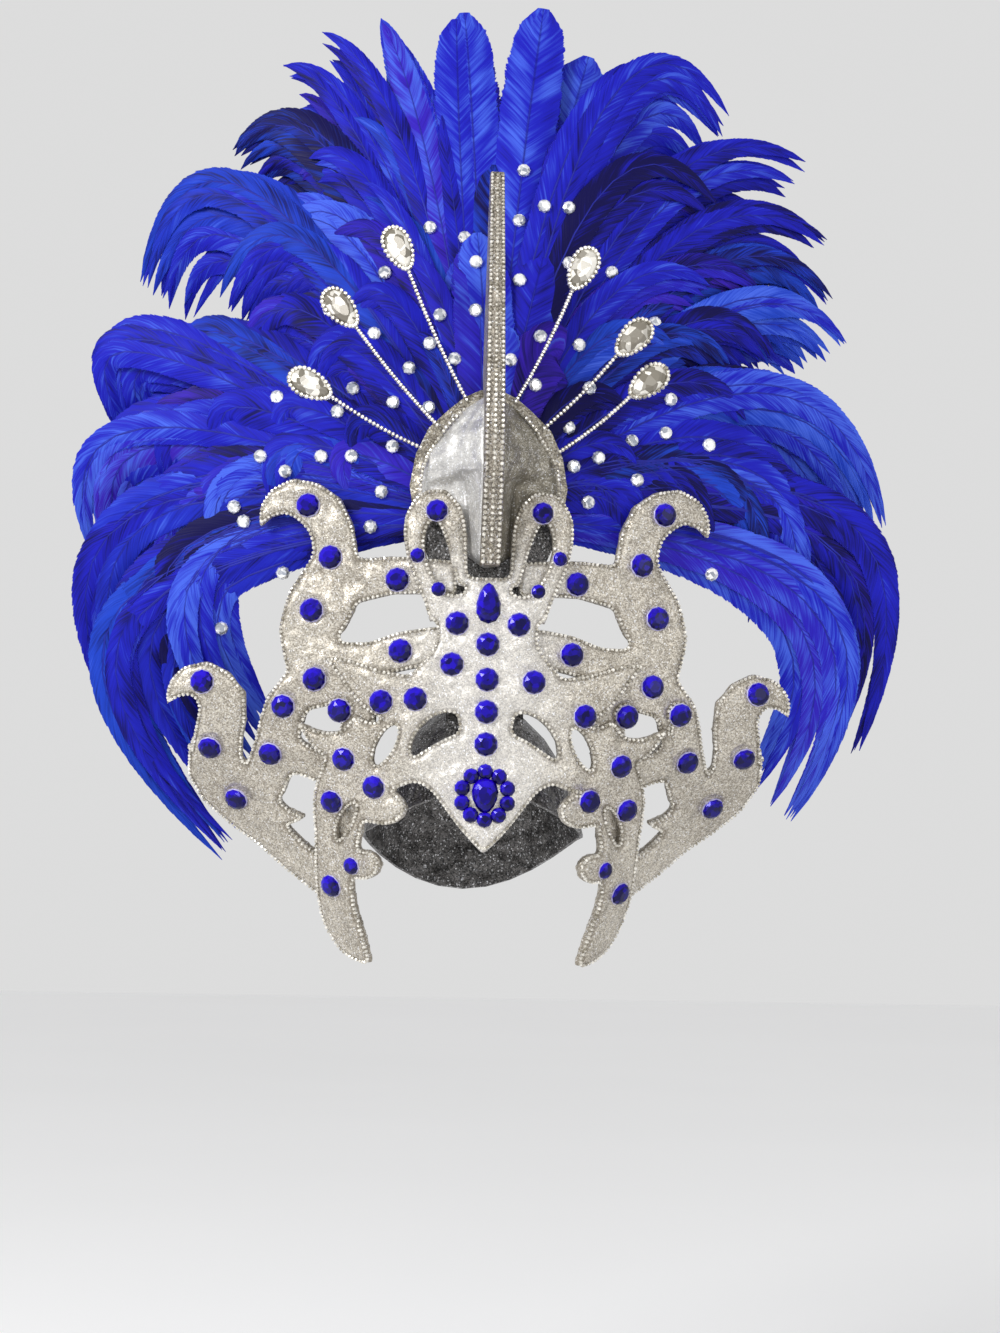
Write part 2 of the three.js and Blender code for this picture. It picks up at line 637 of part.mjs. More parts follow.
for (const { name, way } of SIDES) {
  const plateOn = (side) => join(scrollStrands.map((rows) => (
    strand(rows, SCROLL_UNIT, SCROLL_FACE, SCROLL_BACK, side)
  )));
  const plate = plateOn(way);
  const stones = SCROLL_STONES.map((row) => {
    const [x, z] = [way * row.x * SCROLL_REACH, row.z * SCROLL_RISE];
    return stoneSolid(x, z, { width: STONE, height: STONE }, SCROLL_FACE + STONE_SINK);
  });
  place(`scroll_${name}`, drapeSolid(join([plate, ...stones])), glitter());
  // the chain stops where the front panel covers the scroll
  const run = mainBody(toSolid(edgeChain(plateOn(1), SCROLL_FACE)).subtract(panelShadow));
  const sided = run.scale([way, 1, 1]);
  place(`scroll_chain_${name}`, toGeometry(fromSolid(sided)), crystalChain());
}

// Cap on the head, and the upright crest board that two ribs hold off it.
// The rim stands high at the front, where the panel hides it, and low behind.
const RIM = { front: 62, side: 30, back: -10 };
const CAP_TURNS = 28;
const CAP_TIERS = 6;
const CAP_CROWN = Math.PI * 0.497; // the top ring lies just short of the pole
function capRings(wall) {
  const [w, d, h] = [CAP_HALF_WIDTH - wall, CAP_HALF_DEPTH - wall, CAP_RISE - wall];
  const spot = (tier, turn) => {
    const ahead = -Math.cos(turn);
    const end = ahead < 0 ? RIM.front : RIM.back;
    const rim = RIM.side + (end - RIM.side) * ahead * ahead;
    const from = Math.asin(rim / h);
    const up = from + (CAP_CROWN - from) * (tier / CAP_TIERS);
    return [w * Math.cos(up) * Math.sin(turn), d * Math.cos(up) * ahead, h * Math.sin(up)];
  };
  return Array.from({ length: CAP_TIERS + 1 }, (_, tier) => (
    Array.from({ length: CAP_TURNS }, (_, i) => spot(tier, (i / CAP_TURNS) * 2 * Math.PI))
  ));
}
const inside = capRings(CAP_WALL);
const CAVITY_FOOT = -60; // the head's space is cut down to here
const cavity = skinSolid([inside[0].map(([x, y]) => [x, y, CAVITY_FOOT]), ...inside]);
const capShell = skinSolid([...capRings(0), ...capRings(CAP_WALL).reverse()]);
const BOARD_UNIT = { x: CREST_HALF, z: CREST_RISE };
const BOARD_EDGE = [
  { z: 0.225, half: 0.57 }, { z: 0.6, half: 0.57 }, { z: 0.655, half: 0.86 }, { z: 0.72, half: 1.06 },
  { z: 0.81, half: 1.16 }, { z: 0.875, half: 1.08 }, { z: 0.93, half: 0.9 }, { z: 0.97, half: 0.6 },
  { z: 0.995, half: 0.38 }, { z: 1.01, half: 0.15 },
];
const board = toSolid(drapeSolid(spindle(BOARD_EDGE, BOARD_UNIT, BOARD_FACE, BOARD_BACK, 1)));
const RIB = { across: 18, thick: 4, from: 76, to: 122, front: -99, back: -30 };
const ribs = SIDES.map(({ way }) => {
  const rib = new THREE.BoxGeometry(RIB.thick, RIB.back - RIB.front, RIB.to - RIB.from);
  rib.translate(way * RIB.across, (RIB.back + RIB.front) / 2, (RIB.to + RIB.from) / 2);
  return toSolid(rib);
});
const capSolid = mainBody(join([capShell, board, ...ribs]).subtract(cavity));
place('cap_and_board', toGeometry(fromSolid(capSolid)), darkGlitter());

// Keeled shield of the crest, hollow behind. By height: half width, where the
// flank turns, how deep it lies there, and how far the nose stands forward.
const KEEL_NOSE = 22;
const NOSE_HALF = FIN_HALF + 0.6;
const SHIELD = [
  { up: 0, half: 0.08, flank: 0.06, dip: 1.13, nose: 0.05 },
  { up: 0.07, half: 0.33, flank: 0.27, dip: 1.13, nose: 0.23 },
  { up: 0.22, half: 0.69, flank: 0.31, dip: 1.13, nose: 0.55 },
  { up: 0.38, half: 0.94, flank: 0.33, dip: 1.13, nose: 0.78 },
  { up: 0.47, half: 1.0, flank: 0.37, dip: 1.1, nose: 0.91 },
  { up: 0.55, half: 0.96, flank: 0.49, dip: -0.36, nose: 1.0 },
  { up: 0.65, half: 0.89, flank: 0.49, dip: -1.1, nose: 1.0 },
  { up: 0.8, half: 0.66, flank: 0.37, dip: -0.75, nose: 0.82 },
  { up: 0.92, half: 0.37, flank: 0.21, dip: -0.2, nose: 0.45 },
  { up: 1, half: 0.03, flank: 0.025, dip: 0.55, nose: 0 },
];
const shieldZ = (row) => CREST_FOOT + row.up * (CREST_RISE - CREST_FOOT);
const noseY = (row) => FRONT_Y - row.nose * KEEL_NOSE;
function shieldRing(row, wall, back) {
  const z = shieldZ(row);
  const half = row.half * CREST_HALF - wall;
  const flank = Math.min(row.flank * CREST_HALF, half * 0.85);
  const nose = Math.min(NOSE_HALF - wall / 2, flank * 0.6);
  const right = [
    drape(half, z, back).toArray(),
    drape(half, z, SCROLL_BACK - CREST_WALL + wall * 0.6).toArray(),
    drape(flank, z, row.dip * FOAM + wall).toArray(),
    [nose, noseY(row) + wall, z],
  ];
  return [...right, ...right.map(([x, y, h]) => [-x, y, h]).reverse(), drape(0, z, back).toArray()];
}
const shieldHollow = SHIELD.slice(1, -1).map((row) => shieldRing(row, CREST_WALL, SCROLL_BACK + CUT_PAST));
const shieldSolid = skinSolid(SHIELD.map((row) => shieldRing(row, 0, SCROLL_BACK - 0.1)))
  .subtract(skinSolid(shieldHollow));
place('crest_shield', toGeometry(fromSolid(shieldSolid)), glitter());
// the chain rides a little outside and clear of the shield's ridged edge
const RIDGE_OUT = 0.7;
const RIDGE_LIFT = 0.8;
const CHAINED_FROM = 5; // row of the shield where its chain begins
for (const { name, way } of SIDES) {
  const points = SHIELD.slice(CHAINED_FROM, -1).map((row) => {
    const share = CHAIN_INSET / ((row.half - row.flank) * CREST_HALF);
    const edge = drape(row.half * CREST_HALF, shieldZ(row), SCROLL_BACK - CREST_WALL);
    const flank = drape(row.flank * CREST_HALF, shieldZ(row), row.dip * FOAM);
    const at = edge.lerp(flank, share);
    return new THREE.Vector3(way * (at.x + RIDGE_OUT), at.y - CHAIN_LIFT - RIDGE_LIFT, at.z);
  });
  place(`crest_chain_${name}`, cord(points, CHAIN, 12), crystalChain());
}

// Fin: an upright blade that stands on the shield's nose, edge to the viewer,
// with three rows of cup chain down its front.
const FIN_FRONT = [
  { up: 0, out: 0.55 }, { up: 0.09, out: 0.9 }, { up: 0.2, out: 1.3 }, { up: 0.33, out: 1.5 },
  { up: 0.48, out: 1.4 }, { up: 0.75, out: 1.05 }, { up: 1, out: 0.5 },
];
const FIN_BACK = [{ up: 1, out: 0.1 }, { up: 0.6, out: -0.3 }, { up: 0.48, out: -0.32 }];
const finPoint = (row) => [FRONT_Y - row.out * KEEL_NOSE, CREST_FOOT + row.up * (FIN_TOP - CREST_FOOT)];
const finSeat = SHIELD.map((row) => [noseY(row) - GAP, shieldZ(row)]).reverse();
const finProfile = [...FIN_FRONT.map(finPoint), ...FIN_BACK.map(finPoint), ...finSeat];
const finSolid = flatPlate(finProfile, -FIN_HALF, FIN_HALF);
const finMesh = fromSolid(finSolid);
place('crest_fin', toGeometry({
  points: finMesh.points.map(([y, z, x]) => [x, y, z]),
  tris: finMesh.tris,
}), glitter());
const FIN_CORD = 2.35; // half width of a row
const FIN_CORD_FLAT = 0.7; // its half height, as a share of that
const FIN_PITCH = 4.3;
const finLine = new THREE.CatmullRomCurve3(FIN_FRONT.map((row) => {
  const [y, z] = finPoint(row);
  return new THREE.Vector3(0, y, z);
}), false, 'centripetal');
const finRow = (across) => {
  const spots = [...FIN_FRONT.keys()].map((i) => i / (FIN_FRONT.length - 1));
  return skinSolid(spots.map((share) => {
    const at = finLine.getPoint(share);
    const way = finLine.getTangent(share);
    const out = new THREE.Vector3(0, -way.z, way.y).normalize();
    return Array.from({ length: 6 }, (_, i) => {
      const turn = ((i + 0.5) / 6) * 2 * Math.PI;
      const lift = FIN_CORD * FIN_CORD_FLAT * (Math.cos(turn) + 1) + 2 * GAP;
      const p = at.clone().addScaledVector(out, lift);
      return [across + FIN_CORD * Math.sin(turn), p.y, p.z];
    });
  }));
};
const finRows = join([-FIN_PITCH, 0, FIN_PITCH].map(finRow));
place('crest_fin_chain', toGeometry(fromSolid(finRows)), crystalChain());

// Sprays: a chained wire from behind the shield's edge to a pear crystal
const SPRAY_RISE = 400; // about the height the sprays reach
const WIRE = 1.6; // radius of a spray's chained wire
const WIRE_CLEAR = 0.4; // from the board at its root
const WIRE_SINK = 0.6; // how deep in the setting it ends, as a share
const WIRE_STEPS = 9;
// the head and the bow are shares of that height, the root is tied to the crest
const SPRAYS = [
  { name: 'left_1', x: -0.165, z: 1.072, fromX: -0.347, fromZ: 0.9886, bow: 0.02 },
  { name: 'left_2', x: -0.262, z: 0.965, fromX: -0.755, fromZ: 0.9345, bow: 0.02 },
  { name: 'left_3', x: -0.312, z: 0.832, fromX: -0.98, fromZ: 0.8865, bow: 0.012 },
  { name: 'right_1', x: 0.148, z: 1.048, fromX: 0.347, fromZ: 0.9886, bow: -0.02 },
  { name: 'right_2', x: 0.238, z: 0.93, fromX: 0.755, fromZ: 0.9345, bow: -0.02 },
  { name: 'right_3', x: 0.265, z: 0.855, fromX: 0.98, fromZ: 0.8865, bow: -0.02 },
];
const PEAR = { width: 24, height: 33, rise: 3, point: 0.35, sides: 12 };
const PEAR_STONE = { width: 16, height: 25, rise: 4.5, point: 0.35, sides: 10 };
const PEAR_NECK = 0.42; // where the wire enters, from the middle of the pear
const SPRAY_FORWARD = -121; // face of the pear settings
for (const row of SPRAYS) {
  const root = new THREE.Vector2(row.fromX * CREST_HALF, row.fromZ * CREST_RISE);
  const head = new THREE.Vector2(row.x, row.z).multiplyScalar(SPRAY_RISE);
  const way = root.clone().sub(head).normalize();
  const turned = (rings, y) => rings.map((ring) => ring.map(([u, v, d]) => (
    [head.x + u * way.y + v * way.x, y + d, head.y - u * way.x + v * way.y]
  )));
  const setting = skinSolid(turned(stoneRings(PEAR, 0), SPRAY_FORWARD + PEAR.rise));
  const base = drape(root.x, root.y, BOARD_FACE - WIRE_CLEAR - WIRE);
  const neck = head.clone().addScaledVector(way, PEAR.height * PEAR_NECK);
  const aside = new THREE.Vector2(way.y, -way.x).multiplyScalar(row.bow * SPRAY_RISE);
  const middle = root.clone().lerp(neck, 0.5).add(aside);
  const wire = toSolid(cord([
    base,
    new THREE.Vector3(middle.x, (base.y + SPRAY_FORWARD) / 2 + 1, middle.y),
    new THREE.Vector3(neck.x, SPRAY_FORWARD + PEAR.rise * WIRE_SINK, neck.y),
    new THREE.Vector3(head.x, SPRAY_FORWARD + PEAR.rise * WIRE_SINK, head.y),
  ], WIRE, WIRE_STEPS));
  place(`spray_${row.name}`, toGeometry(fromSolid(join([setting, wire]))), crystalChain());
  const crystal = skinSolid(turned(stoneRings(PEAR_STONE, 0), SPRAY_FORWARD - GAP));
  place(`spray_crystal_${row.name}`, toGeometry(fromSolid(crystal)), clearStone());
}

// Plumes: a fan of drooping locks in three layers, fused to a thin backing that
// sits on the crest board. Each row is one long lock, round from the low left:
// its tip and the point it bows over on the way there, from the fan's heart.
const LOCKS = [
  { x: -0.51, z: -0.66, overX: -1.14, overZ: 0.01, wide: 0.9 },
  { x: -0.7, z: -0.41, overX: -0.99, overZ: 0.24, wide: 1 },
  { x: -0.75, z: -0.09, overX: -0.96, overZ: 0.44, wide: 1 },
  { x: -0.69, z: 0.15, overX: -0.95, overZ: 0.64, wide: 1 },
  { x: -0.68, z: 0.5, overX: -0.55, overZ: 1, wide: 1 },
  { x: -0.51, z: 0.78, overX: -0.3, overZ: 1.02, wide: 1 },
  { x: -0.41, z: 0.96, overX: -0.21, overZ: 0.98, wide: 0.7 },
  { x: -0.33, z: 1.02, overX: -0.14, overZ: 0.93, wide: 0.7 },
  { x: -0.24, z: 1.06, overX: -0.11, overZ: 0.84, wide: 0.8 },
  { x: -0.04, z: 1.06, overX: -0.03, overZ: 0.58, wide: 0.9 },
  { x: 0.12, z: 1.06, overX: 0.05, overZ: 0.57, wide: 0.9 },
  { x: 0.21, z: 1.0, overX: 0.1, overZ: 0.6, wide: 0.9 },
  { x: 0.49, z: 0.87, overX: 0.23, overZ: 1.01, wide: 1 },
  { x: 0.66, z: 0.78, overX: 0.31, overZ: 0.93, wide: 0.8 },
  { x: 0.7, z: 0.63, overX: 0.39, overZ: 0.85, wide: 0.8 },
  { x: 0.71, z: 0.51, overX: 0.47, overZ: 0.79, wide: 0.8 },
  { x: 0.74, z: 0.41, overX: 0.53, overZ: 0.66, wide: 0.9 },
  { x: 0.84, z: 0.05, overX: 0.65, overZ: 0.56, wide: 1 },
  { x: 0.77, z: -0.41, overX: 1, overZ: 0.3, wide: 1 },
  { x: 0.65, z: -0.56, overX: 0.98, overZ: 0.07, wide: 0.9 },
];
// how far a lock runs of the long one at its place, and how far back it lies
const LAYERS = [
  { length: 1, root: -90, tip: 10 },
  { length: 0.8, root: -90, tip: -26 },
  { length: 0.56, root: -90, tip: -66 },
];
// the sectors of the fan, and where their locks stand among the long ones
const SECTORS = [
  { name: 'low_left', outer: [0, 1, 2, 3], inner: [0.3, 1.3, 2.4, 3.3], inmost: [0.1, 1.4, 2.8] },
  { name: 'left', outer: [4, 5, 6, 7], inner: [4.2, 4.8, 5.7, 7], inmost: [4.1, 5] },
  { name: 'crown', outer: [8, 9, 10, 11], inner: [8.6, 10.2, 11.2], inmost: [8.8, 11] },
  { name: 'right', outer: [12, 13, 14, 15, 16], inner: [12.4, 14, 15.4, 16.4], inmost: [13.5, 16] },
  { name: 'low_right', outer: [17, 18, 19], inner: [17.2, 17.9, 18.8], inmost: [17.5, 18.5] },
];
const LOCK_PROFILE = [
  { along: 0.05, wide: 0.4 },
  { along: 0.27, wide: 0.9 },
  { along: 0.48, wide: 1 },
  { along: 0.65, wide: 0.93 },
  { along: 0.8, wide: 0.72 },
  { along: 0.91, wide: 0.44 },
  { along: 1, wide: 0.08 },
];
const LOCK_CLEAR = 1.2; // behind the scrolls and the board
const LOCK_FALL = 1.6; // how late a lock leaves the backing
const LOCK_END = 2; // how much more a swelled lock grows at its ends
const SECTOR_APART = 2.5 * GAP; // clearance cut between the sectors
// a lock is drawn swelled to cut its clearance out of the next sector
function lock(at, layer, grow) {
  const row = LOCKS[Math.floor(at)];
  const next = LOCKS[Math.ceil(at)];
  const blend = (key) => THREE.MathUtils.lerp(row[key], next[key], at % 1);
  const reach = FAN_LENGTH * layer.length;
  const heart = new THREE.Vector2(0, FAN_HEART);
  const over = new THREE.Vector2(blend('overX'), blend('overZ')).multiplyScalar(reach).add(heart);
  const tip = new THREE.Vector2(blend('x'), blend('z')).multiplyScalar(reach).add(heart);
  const line = new THREE.QuadraticBezierCurve(heart, over, tip);
  return skinSolid(LOCK_PROFILE.map(({ along, wide }, i) => {
    const way = line.getTangentAt(along);
    const ends = i === 0 ? -LOCK_END : LOCK_END * (i === LOCK_PROFILE.length - 1);
    const { x, y: z } = line.getPointAt(along).addScaledVector(way, ends * grow);
    const half = (wide * blend('wide') * LOCK_WIDTH) / 2;
    const thick = LOCK_HALF * (0.4 + 0.6 * wide);
    const swell = 1 + grow / thick;
    const free = (u) => faceY(u, z) + BACKING_FACE + PARTING + thick + LOCK_CLEAR;
    const lean = layer.root + (layer.tip - layer.root) * along ** LOCK_FALL;
    const y = Math.max(lean, free(x), free(Math.abs(x) + half * Math.abs(way.y)));
    return [
      [x + way.y * half * swell, y, z - way.x * half * swell],
      [x, y + thick * swell, z],
      [x - way.y * half * swell, y, z + way.x * half * swell],
      [x, y - thick * swell, z],
    ];
  }));
}
const BACKING_EDGE = [
  { z: 0.825, half: 0.1 }, { z: 0.83, half: 1.5 }, { z: 0.95, half: 1.85 }, { z: 1.1, half: 1.8 },
  { z: 1.25, half: 1.45 }, { z: 1.36, half: 0.85 }, { z: 1.4, half: 0.1 },
];
const backing = (grow) => toSolid(drapeSolid(spindle(
  BACKING_EDGE,
  { x: CREST_HALF, z: FAN_HEART },
  BACKING_FACE - grow,
  BACKING_FACE + BACKING + grow,
)));
// the part of space between two directions from the heart, moved out a little
const FAN_FRONT = -110;
const FAN_BACK = 60;
function wedge(from, to, shift) {
  const middle = (from + to) / 2;
  const corner = (turn, far) => [
    shift * Math.sin(middle) + far * Math.sin(turn),
    FAN_HEART + shift * Math.cos(middle) + far * Math.cos(turn),
  ];
  const ends = [from, middle, to].map((turn) => corner(turn, FAN_LENGTH));
  const outline = [corner(middle, 0), ...ends];
  const slab = fromSolid(flatPlate(outline, FAN_FRONT, FAN_BACK));
  return toSolid(toGeometry({
    points: slab.points.map(([x, z, y]) => [x, y, z]),
    tris: slab.tris.map(([a, b, c]) => [a, c, b]),
  }));
}
const SECTOR_SHIFT = 0.9; // how far each sector's seat stands out from the heart
// where a sector begins: halfway between its first lock and the one before
function sectorEdge(at) {
  if (at < 0) return -Math.PI;
  if (at > LOCKS.length - 1) return Math.PI;
  const [a, b] = [LOCKS[Math.floor(at)], LOCKS[Math.ceil(at)]];
  return Math.atan2(a.overX + b.overX, a.overZ + b.overZ);
}
function sectorSolid({ outer, inner, inmost }, grow) {
  const locks = [outer, inner, inmost].flatMap((places, i) => (
    places.map((at) => lock(at, LAYERS[i], grow))
  ));
  const from = sectorEdge(outer[0] - 0.5);
  const to = sectorEdge(outer[outer.length - 1] + 0.5);
  const seat = backing(grow).intersect(wedge(from, to, SECTOR_SHIFT - LOCK_END * grow));
  return join([seat, ...locks]);
}
let taken = [];
for (const sector of SECTORS) {
  const solid = taken.length ? sectorSolid(sector, 0).subtract(join(taken)) : sectorSolid(sector, 0);
  place(`plume_${sector.name}`, toGeometry(fromSolid(mainBody(solid))), plumeBlue());
  taken = [...taken, sectorSolid(sector, SECTOR_APART)];
}

export default headdress;
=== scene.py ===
import math

import bmesh
import bpy
import numpy as np
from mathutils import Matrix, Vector, kdtree
from mathutils.bvhtree import BVHTree


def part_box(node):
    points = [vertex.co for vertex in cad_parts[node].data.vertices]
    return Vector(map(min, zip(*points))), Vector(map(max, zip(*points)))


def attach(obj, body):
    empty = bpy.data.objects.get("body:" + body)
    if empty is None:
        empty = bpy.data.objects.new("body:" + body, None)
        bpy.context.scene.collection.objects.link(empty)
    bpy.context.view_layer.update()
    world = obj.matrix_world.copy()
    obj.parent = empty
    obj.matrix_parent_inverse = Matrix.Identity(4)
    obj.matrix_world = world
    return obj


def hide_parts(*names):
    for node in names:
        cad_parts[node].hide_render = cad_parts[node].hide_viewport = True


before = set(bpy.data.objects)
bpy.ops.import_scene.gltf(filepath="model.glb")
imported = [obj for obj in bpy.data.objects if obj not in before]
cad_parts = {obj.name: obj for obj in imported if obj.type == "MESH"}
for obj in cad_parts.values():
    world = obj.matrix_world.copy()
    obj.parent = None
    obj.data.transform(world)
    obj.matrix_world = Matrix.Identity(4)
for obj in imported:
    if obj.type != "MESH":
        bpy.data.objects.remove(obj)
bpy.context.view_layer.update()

MM = 0.001


# Glitter cloth, glued over the foam of the front, the scrolls, the shield and the
# fin: champagne flakes about a millimetre wide, with painted light whitening the middle
# and the shield's left half, painted glints on some flakes, and painted shade darkening
# the shield's right half and a groove along each edge.
class Ink:
    """A value in a material's node tree; sums written with it become nodes."""

    def __init__(self, tree, socket=None):
        self.tree, self.socket = tree, socket

    def node(self, kind, settings=None, inputs=None, out=0):
        made = self.tree.nodes.new(kind)
        for key, value in (settings or {}).items():
            setattr(made, key, value)
        for key, value in (inputs or {}).items():
            if isinstance(value, Ink):
                self.tree.links.new(value.socket, made.inputs[key])
            else:
                made.inputs[key].default_value = value
        return Ink(self.tree, made.outputs[out])

    def maths(self, operation, *parts):
        return self.node("ShaderNodeMath", {"operation": operation}, dict(enumerate(parts)))

    def __add__(self, other):
        return self.maths("ADD", self, other)

    def __sub__(self, other):
        return self.maths("SUBTRACT", self, other)

    def __rsub__(self, other):
        return self.maths("SUBTRACT", other, self)

    def __mul__(self, other):
        return self.maths("MULTIPLY", self, other)

    def size(self):
        return self.maths("ABSOLUTE", self)

    def between(self, start, end, to_start=0.0, to_end=1.0):
        return self.node(
            "ShaderNodeMapRange",
            {"interpolation_type": "SMOOTHSTEP"},
            {0: self, 1: start, 2: end, 3: to_start, 4: to_end},
        )

    def mix(self, first, second):
        """The colour that runs from first to second as this value goes from 0 to 1."""
        colours = {6: first, 7: second, 0: self}
        return self.node("ShaderNodeMix", {"data_type": "RGBA"}, colours, out=2)


def new_skin(name, colour, roughness, metallic=0.0, **uniform):
    """A material, its ink, and a way to send ink into its surface shader."""
    material = bpy.data.materials.new(name)
    material.use_nodes = True
    tree = material.node_tree
    surface = tree.nodes["Principled BSDF"]
    surface.inputs["Base Color"].default_value = (*colour, 1)
    surface.inputs["Roughness"].default_value = roughness
    surface.inputs["Metallic"].default_value = metallic
    for key, value in uniform.items():
        surface.inputs[key.replace("_", " ")].default_value = value

    def send(**inks):
        for key, ink in inks.items():
            tree.links.new(ink.socket, surface.inputs[key.replace("_", " ")])

    return material, Ink(tree), send


def glitter_cloth(
    name, dull, bright, flake=1.0, painted_middle_light=0.0, painted_left_light=0.0, painted_right_shade=0.0, crest=None
):
    """Glitter cloth: its dull and bright flakes, how much painted light whitens its middle
    and its left half, how much painted shade dulls its right half, and what colours it
    has above the loops."""
    material, ink, send = new_skin(name, bright, 0.4, 0.55)
    place = ink.node("ShaderNodeTexCoord", out=3)
    x, _, z = [ink.node("ShaderNodeSeparateXYZ", None, {0: place}, out=i) for i in range(3)]
    fine = {"Vector": place, "Scale": 1300.0 / flake}
    flakes = ink.node("ShaderNodeTexVoronoi", None, fine, out=1)
    chance = ink.node("ShaderNodeSeparateColor", None, {0: flakes})
    other = ink.node("ShaderNodeSeparateColor", None, {0: flakes}, out=1)
    rub = ink.node("ShaderNodeTexNoise", None, {"Vector": place, "Scale": 22.0, "Detail": 3.0})
    inland = ink.node("ShaderNodeAttribute", {"attribute_name": "inland"}, out=2)
    folds = ink.node("ShaderNodeTexNoise", None, {"Vector": place, "Scale": 52.0, "Detail": 1.5})
    # Painted light: a band down the middle, up to about 250 mm, is made paler and whiter.
    middle = (x.size() * 1000).between(20, 75, 1.0, 0.0) * (z * 1000).between(190, 250, 1.0, 0.0)
    # Painted shade: darker in a groove within about 4 mm of each edge.
    painted_groove_shade = inland.between(0.2, 0.42, 0.42, 0.0) * inland.between(0.0, 0.2)
    # Painted light and shade from the key lamp on the left: the left half lighter, the right half
    # duller.
    left = (x * 1000).between(0.5, -0.5)
    tone = chance * 0.75 + rub * 0.5 - 0.12 + middle * painted_middle_light * 0.4 - painted_groove_shade - (1 - left) * painted_right_shade
    tone = tone.between(0.05, 1.05)
    base = tone.mix((*dull, 1), (*bright, 1))
    if crest:
        base = (z * 1000).between(256, 258).mix(base, tone.mix(*crest))
    # Painted light: the middle and the left half are whitened, and about one flake in ten gets a
    # painted white glint.
    whiteness = middle * painted_middle_light + left * painted_left_light + other.between(0.9, 1.0) * 0.75
    white = whiteness.mix(base, (0.92, 0.93, 0.96, 1))
    flat = ink.node(
        "ShaderNodeBump", None, {"Height": chance, "Strength": 0.55, "Distance": 0.0006}
    )
    puffed = ink.node(
        "ShaderNodeBump", None,
        {"Height": folds, "Strength": 0.9, "Distance": 0.009, "Normal": flat},
    )
    send(Base_Color=white, Roughness=other.between(0, 1, 0.28, 0.62), Normal=puffed)
    return material


silver = glitter_cloth("silver_glitter", (0.25, 0.22, 0.178), (0.7, 0.655, 0.57), painted_middle_light=0.25)
# The shield: painted light on its left half and painted shade on its right half, from the key lamp
# on the left.
shield_silver = glitter_cloth(
    "shield_glitter", (0.19, 0.17, 0.13), (0.6, 0.57, 0.5), painted_left_light=0.42, painted_right_shade=0.24
)
bronze = glitter_cloth("fin_glitter", (0.11, 0.095, 0.075), (0.5, 0.45, 0.38))
# The cap and board: painted shade, charcoal standing in for silver glitter in the shade behind the
# front; lighter brown-grey above the loops.
shaded_cap_glitter = glitter_cloth(
    "cap_glitter_painted_shade", (0.02, 0.02, 0.02), (0.2, 0.19, 0.185), 1.2,
    crest=((0.13, 0.11, 0.085, 1), (0.5, 0.46, 0.38, 1)),
)


def face_y(x, z):
    """The curved front the plates lie on, in mm, as the part was drawn."""
    low_down = np.clip((130 - z) / 130, 0, 1.25)
    wrap = 0.002 + 0.0055 * low_down**1.5
    return -112 + wrap * x * x / (1 + (x / 200) ** 2) + np.where(z < 0, 0.006 * z * z, 0)


def faces_out(x, z):
    """The ways the curved front looks at many places."""
    across = face_y(x + 0.5, z) - face_y(x - 0.5, z)
    down = face_y(x, z + 0.5) - face_y(x, z - 0.5)
    ways = np.stack([across, np.full_like(across, -1.0), down], axis=-1)
    return ways / np.linalg.norm(ways, axis=-1, keepdims=True)


def face_out(x, z):
    return Vector(faces_out(np.float64(x), np.float64(z)))


def edge_loops(node):
    """The edges round a plate's face and its slots, in mm, the face on their left."""
    work = bmesh.new()
    work.from_mesh(node.data)
    bmesh.ops.remove_doubles(work, verts=work.verts, dist=2e-5)
    work.verts.index_update()
    work.faces.index_update()
    front = {}
    for face in work.faces:
        spot = face.calc_center_median() / MM
        if face.normal.dot(face_out(spot.x, spot.z)) > 0.6:
            front[face.index] = face
    follow = {}
    for face in front.values():
        for corner in face.loops:
            others = [f for f in corner.edge.link_faces if f != face]
            if not others or others[0].index not in front:
                follow[corner.vert.index] = corner.link_loop_next.vert.index
    spots = {v.index: v.co.copy() / MM for v in work.verts}
    work.free()
    reached = set(follow.values())
    starts = [a for a in follow if a not in reached] + list(follow)
    loops = []
    for start in starts:
        loop, at = [], start
        while at in follow:
            loop.append(spots[at])
            at = follow.pop(at)
        if len(loop) > 5:
            loops.append((loop, at == start))
    return loops


def length_of(loop):
    return sum((b - a).length for a, b in zip(loop, loop[1:]))


def even_loop(loop, closed, pitch, inset):
    """Points at a steady pitch along an edge, eased and drawn in from it."""
    ring = [p.copy() for p in loop] + ([loop[0].copy()] if closed else [])
    total = length_of(ring)
    count = max(4, round(total / pitch))
    marks, walked, k = [], 0.0, 0
    for i in range(count):
        goal = total * i / count
        while k < len(ring) - 2 and walked + (ring[k + 1] - ring[k]).length < goal:
            walked += (ring[k + 1] - ring[k]).length
            k += 1
        a, b = ring[k], ring[k + 1]
        marks.append(a.lerp(b, (goal - walked) / max((b - a).length, 1e-6)))
    ends = (0, count - 1)
    for _ in range(3):
        marks = [
            marks[i] if not closed and i in ends
            else (marks[i - 1] + marks[i] * 2 + marks[(i + 1) % count]) / 4
            for i in range(count)
        ]
    drawn = []
    for i in range(count):
        before = marks[i - 1] if closed or i else marks[0]
        after = marks[(i + 1) % count] if closed or i < count - 1 else marks[-1]
        way = (after - before).normalized()
        drawn.append(marks[i] + Vector((-way.z, 0, way.x)) * inset)
    return drawn


# edges of plates up to this long (mm) only go round a stone; its mound reaches this far
stone_edge = 55
mound_reach = 10.5


